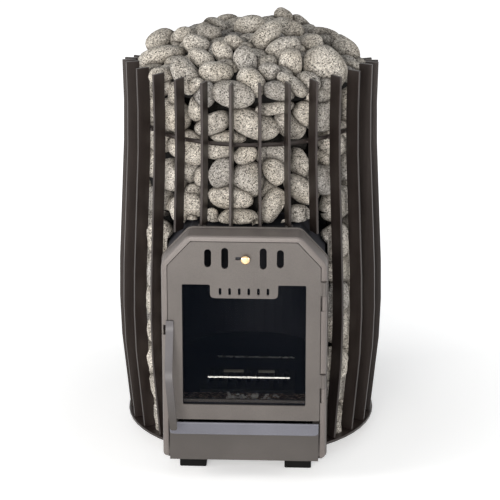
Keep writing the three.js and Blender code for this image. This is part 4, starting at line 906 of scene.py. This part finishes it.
def weld_beads():
    """Small melted beads where the hoop meets each bar and where the front bars stand on the firebox."""
    work = bmesh.new()
    foot_radius = cage_radius(THROAT_TOP_Z)
    spots = []
    for i in range(BAR_COUNT):
        angle = 2 * pi * (i + 0.5) / BAR_COUNT
        out = Vector((sin(angle), -cos(angle), 0))
        side = Vector((cos(angle), sin(angle), 0))
        joints = [(HOOP_RADIUS, HOOP_Z, HOOP_BEAD)]
        if cos(angle) > FRONT_BAR_COSINE:
            joints.append((foot_radius, THROAT_TOP_Z + FOOT_BEAD_RISE, FOOT_BEAD))
        for radius, z, (outward, sideways, size) in joints:
            for hand in (-1, 1):
                spot = out * (radius + outward) + side * hand * sideways + Vector((0, 0, z))
                spots.append((spot, size))
    for i, (spot, size) in enumerate(spots):
        made = bmesh.ops.create_icosphere(work, subdivisions=2, radius=size)["verts"]
        for vert in made:
            vert.co *= 1 + BEAD_DENTS * noise.noise(vert.co * BEAD_GRAIN + Vector((i, 0.5 * i, 0)))
        bmesh.ops.translate(work, verts=made, vec=spot)
    settle("weld_beads", work, "bar_steel", "stove")


# Inside the firebox


def box_of(node):
    corners = [vert.co for vert in frame["nodes"][node].data.vertices]
    low = Vector(tuple(min(corner[i] for corner in corners) for i in range(3)))
    high = Vector(tuple(max(corner[i] for corner in corners) for i in range(3)))
    return low, high


def add_block(work, low, high):
    low = Vector(low)
    high = Vector(high)
    made = bmesh.ops.create_cube(work, size=1.0)["verts"]
    bmesh.ops.scale(work, verts=made, vec=high - low)
    bmesh.ops.translate(work, verts=made, vec=(low + high) / 2)
    return made


def hearth():
    """The burnt sheet before the grate, with a worn bar and brick chips on the grate."""
    low, high = box_of("fire_grate")
    sheet = bmesh.new()
    add_block(
        sheet, (-HEARTH_HALF_WIDTH, HEARTH_FRONT_Y, FLOOR_TOP_Z),
        (HEARTH_HALF_WIDTH, low.y - HEARTH_GAP, FLOOR_TOP_Z + HEARTH_THICKNESS),
    )
    settle("hearth_sheet", sheet, "firebox_steel", "stove", finish="scaled_steel")

    guard = bmesh.new()
    made = add_block(
        guard, (GUARD_LEFT_X, -GUARD_HALF_THICKNESS, 0.0),
        (GUARD_RIGHT_X, GUARD_HALF_THICKNESS, GUARD_HEIGHT),
    )
    guard_y = low.y + GUARD_PLACE * (high.y - low.y) - GRATE_LITTER_SHIFT
    lean = Matrix.Rotation(radians(GUARD_LEAN), 4, "X")
    bmesh.ops.transform(guard, matrix=Matrix.Translation((0, guard_y, high.z)) @ lean, verts=made)
    settle("ember_guard", guard, "bright_steel", "stove", finish="worn_steel")

    chips = bmesh.new()
    back_y = high.y - GRATE_LITTER_SHIFT
    for left, right in CHIP_SPANS:
        add_block(chips, (left, back_y - CHIP_DEPTH, high.z), (right, back_y, high.z + CHIP_HEIGHT))
    settle("firebrick_chips", chips, "firebox_steel", "stove", finish="pale_firebrick")


def glass_ledge():
    """The ledge on the inside of the door, seen through the foot of the glass."""
    low, high = box_of("door_glass")
    near_y = high.y + LEDGE_GAP
    low_z = low.z + GLASS_OVERLAP - LEDGE_DROP
    ledge = bmesh.new()
    add_block(
        ledge, (-LEDGE_HALF_WIDTH, near_y, low_z),
        (LEDGE_HALF_WIDTH, near_y + LEDGE_DEPTH, low_z + LEDGE_HEIGHT),
    )
    settle("glass_shelf", ledge, "grey_paint", "door")


def floor_weld():
    """The rough weld across the firebox floor, behind the grate."""
    seam = bmesh.new()
    for i in range(SEAM_BEADS):
        wobble = SEAM_WOBBLE * noise.noise(Vector((i * 0.9, 0.3, 0.7)))
        spot = Vector((SEAM_LEFT_X + SEAM_PITCH * i, SEAM_Y + wobble, FLOOR_TOP_Z + LITTER_RISE))
        made = bmesh.ops.create_icosphere(seam, subdivisions=1, radius=SEAM_BEAD_RADIUS)["verts"]
        bmesh.ops.translate(seam, verts=made, vec=spot)
    settle("floor_weld", seam, "bright_steel", "stove", finish="worn_steel")


def ash():
    """Pale scraps of ash on the burnt sheet, thickest in the middle; their pale colour is also painted
    glints.
    """
    work = bmesh.new()
    roll = dice(ASH_SEED)
    for _ in range(ASH_SCRAPS):
        across = (next(roll) + next(roll) - 1) * ASH_HALF_WIDTH
        along = ASH_FROM_Y + (ASH_TO_Y - ASH_FROM_Y) * next(roll)
        long_half = ASH_LEAST_HALF + ASH_HALF_SPREAD * next(roll) ** 2
        turn = Matrix.Rotation(pi * next(roll), 4, "Z")
        made = bmesh.ops.create_icosphere(work, subdivisions=1, radius=1.0)["verts"]
        size = Matrix.Diagonal((*(share * long_half for share in ASH_SHARES), 1))
        place = Matrix.Translation((across, along, FLOOR_TOP_Z + LITTER_RISE))
        bmesh.ops.transform(work, matrix=place @ turn @ size, verts=made)
        for vert in made:
            vert.co.z = max(vert.co.z, FLOOR_TOP_Z)
    settle("ash_scraps", work, "firebox_steel", "stove", finish="pale_ash_and_glint")


# Stage


def seen_rays(tree):
    """One for what the camera sees, straight on, in metal or through glass, and nought for the light."""
    path = tree.nodes.new("ShaderNodeLightPath")
    seen = path.outputs["Is Camera Ray"]
    for kind in ("Is Glossy Ray", "Is Transmission Ray"):
        either = tree.nodes.new("ShaderNodeMath")
        either.operation = "MAXIMUM"
        tree.links.new(seen, either.inputs[0])
        tree.links.new(path.outputs[kind], either.inputs[1])
        seen = either.outputs["Value"]
    return seen


def light_room():
    """A dim room to light the stove, which the camera sees as white."""
    world = bpy.data.worlds.new("studio")
    world.use_nodes = True
    bpy.context.scene.world = world
    tree = world.node_tree
    light = tree.nodes["Background"]
    light.inputs["Color"].default_value = (0.97, 0.985, 1.0, 1)
    light.inputs["Strength"].default_value = ROOM_LIGHT
    seen = tree.nodes.new("ShaderNodeBackground")
    seen.inputs["Color"].default_value = (1, 1, 1, 1)
    seen.inputs["Strength"].default_value = 1.0
    mix = tree.nodes.new("ShaderNodeMixShader")
    tree.links.new(seen_rays(tree), mix.inputs["Fac"])
    tree.links.new(light.outputs["Background"], mix.inputs[1])
    tree.links.new(seen.outputs["Background"], mix.inputs[2])
    tree.links.new(mix.outputs["Shader"], tree.nodes["World Output"].inputs["Surface"])


def lay_floor():
    """A white floor that takes the stove's shadow and glows into the white room away from it."""
    work = bmesh.new()
    bmesh.ops.create_grid(work, x_segments=1, y_segments=1, size=FLOOR_HALF)
    mesh = bpy.data.meshes.new("floor")
    work.to_mesh(mesh)
    work.free()
    floor = bpy.data.objects.new("floor", mesh)
    finish, tree, shader, place = new_finish("floor", 0.9)
    cloud = grain(tree, place, 0.7)
    paper = ramp(tree, cloud, (0.3, (0.90, 0.90, 0.90)), (0.7, (0.93, 0.93, 0.93)))
    tree.links.new(paper, shader.inputs["Base Color"])
    distance = tree.nodes.new("ShaderNodeVectorMath")
    distance.operation = "LENGTH"
    tree.links.new(place, distance.inputs[0])
    spread = tree.nodes.new("ShaderNodeMapRange")
    for socket, value in zip(("From Min", "From Max", "To Min", "To Max"), FLOOR_GLOW):
        spread.inputs[socket].default_value = value
    tree.links.new(distance.outputs["Value"], spread.inputs["Value"])
    glow = tree.nodes.new("ShaderNodeMath")
    glow.operation = "MULTIPLY"
    tree.links.new(seen_rays(tree), glow.inputs[0])
    tree.links.new(spread.outputs["Result"], glow.inputs[1])
    tree.links.new(glow.outputs["Value"], shader.inputs["Emission Strength"])
    shader.inputs["Emission Color"].default_value = (1, 1, 1, 1)
    mesh.materials.append(finish)
    bpy.context.scene.collection.objects.link(floor)


def hang_lamps():
    for name, (spot, target, size, power, colour) in LAMPS.items():
        data = bpy.data.lights.new(name, "AREA")
        data.size = size
        data.energy = power
        data.color = colour
        lamp = bpy.data.objects.new(name, data)
        lamp.location = spot
        lamp.rotation_euler = (Vector(target) - Vector(spot)).to_track_quat("-Z", "Y").to_euler()
        bpy.context.scene.collection.objects.link(lamp)


def studio():
    bpy.context.scene.view_settings.view_transform = "Standard"
    light_room()
    lay_floor()
    hang_lamps()


# The stove

for node, piece in frame["nodes"].items():
    piece.data.materials.clear()
    piece.data.materials.append(FINISHES["bar_steel" if node in BLUED_NODES else SLOTS[node]])

for node in sorted(frame["nodes"]):
    if node.startswith("cage_bar"):
        ease_edges(node, BAR_EASE)
    elif node.startswith("foot_"):
        ease_edges(node, FOOT_EASE)
for node in ("front_plate", "door_panel", "base_plate"):
    ease_edges(node, PLATE_EASE)
ease_edges("fire_grate", GRATE_EASE)
ease_edges("air_knob", KNOB_EASE, "knob_steel")
ease_edges("front_collar", PLATE_EASE, "collar_lit_paint")
ease_edges("door_handle", HANDLE_EASE, "handle_painted_light")
ease_edges("ash_drawer_front", PLATE_EASE, "drawer_painted_light")

front = front_stones()
right = bed_stones(*RIGHT_BED, beside_throat)
rear = bed_stones(*REAR_BED, beside_flue)
left = bed_stones(*LEFT_BED, beside_throat)
crown = crown_stones()
crown += crown_fill(front + right + rear + left + crown)
all_stones = front + right + rear + left + crown
pebble_piece("front_pebbles", front, all_stones, "stones_front")
pebble_piece("right_pebbles", right, all_stones)
pebble_piece("rear_pebbles", rear, all_stones)
pebble_piece("left_pebbles", left, all_stones)
pebble_piece("crown_pebbles", crown, all_stones)
for node in ("stones_right", "stones_rear", "stones_left", "stones_crown"):
    heap_shade_core(node)
weld_beads()
hearth()
glass_ledge()
floor_weld()
ash()
studio()
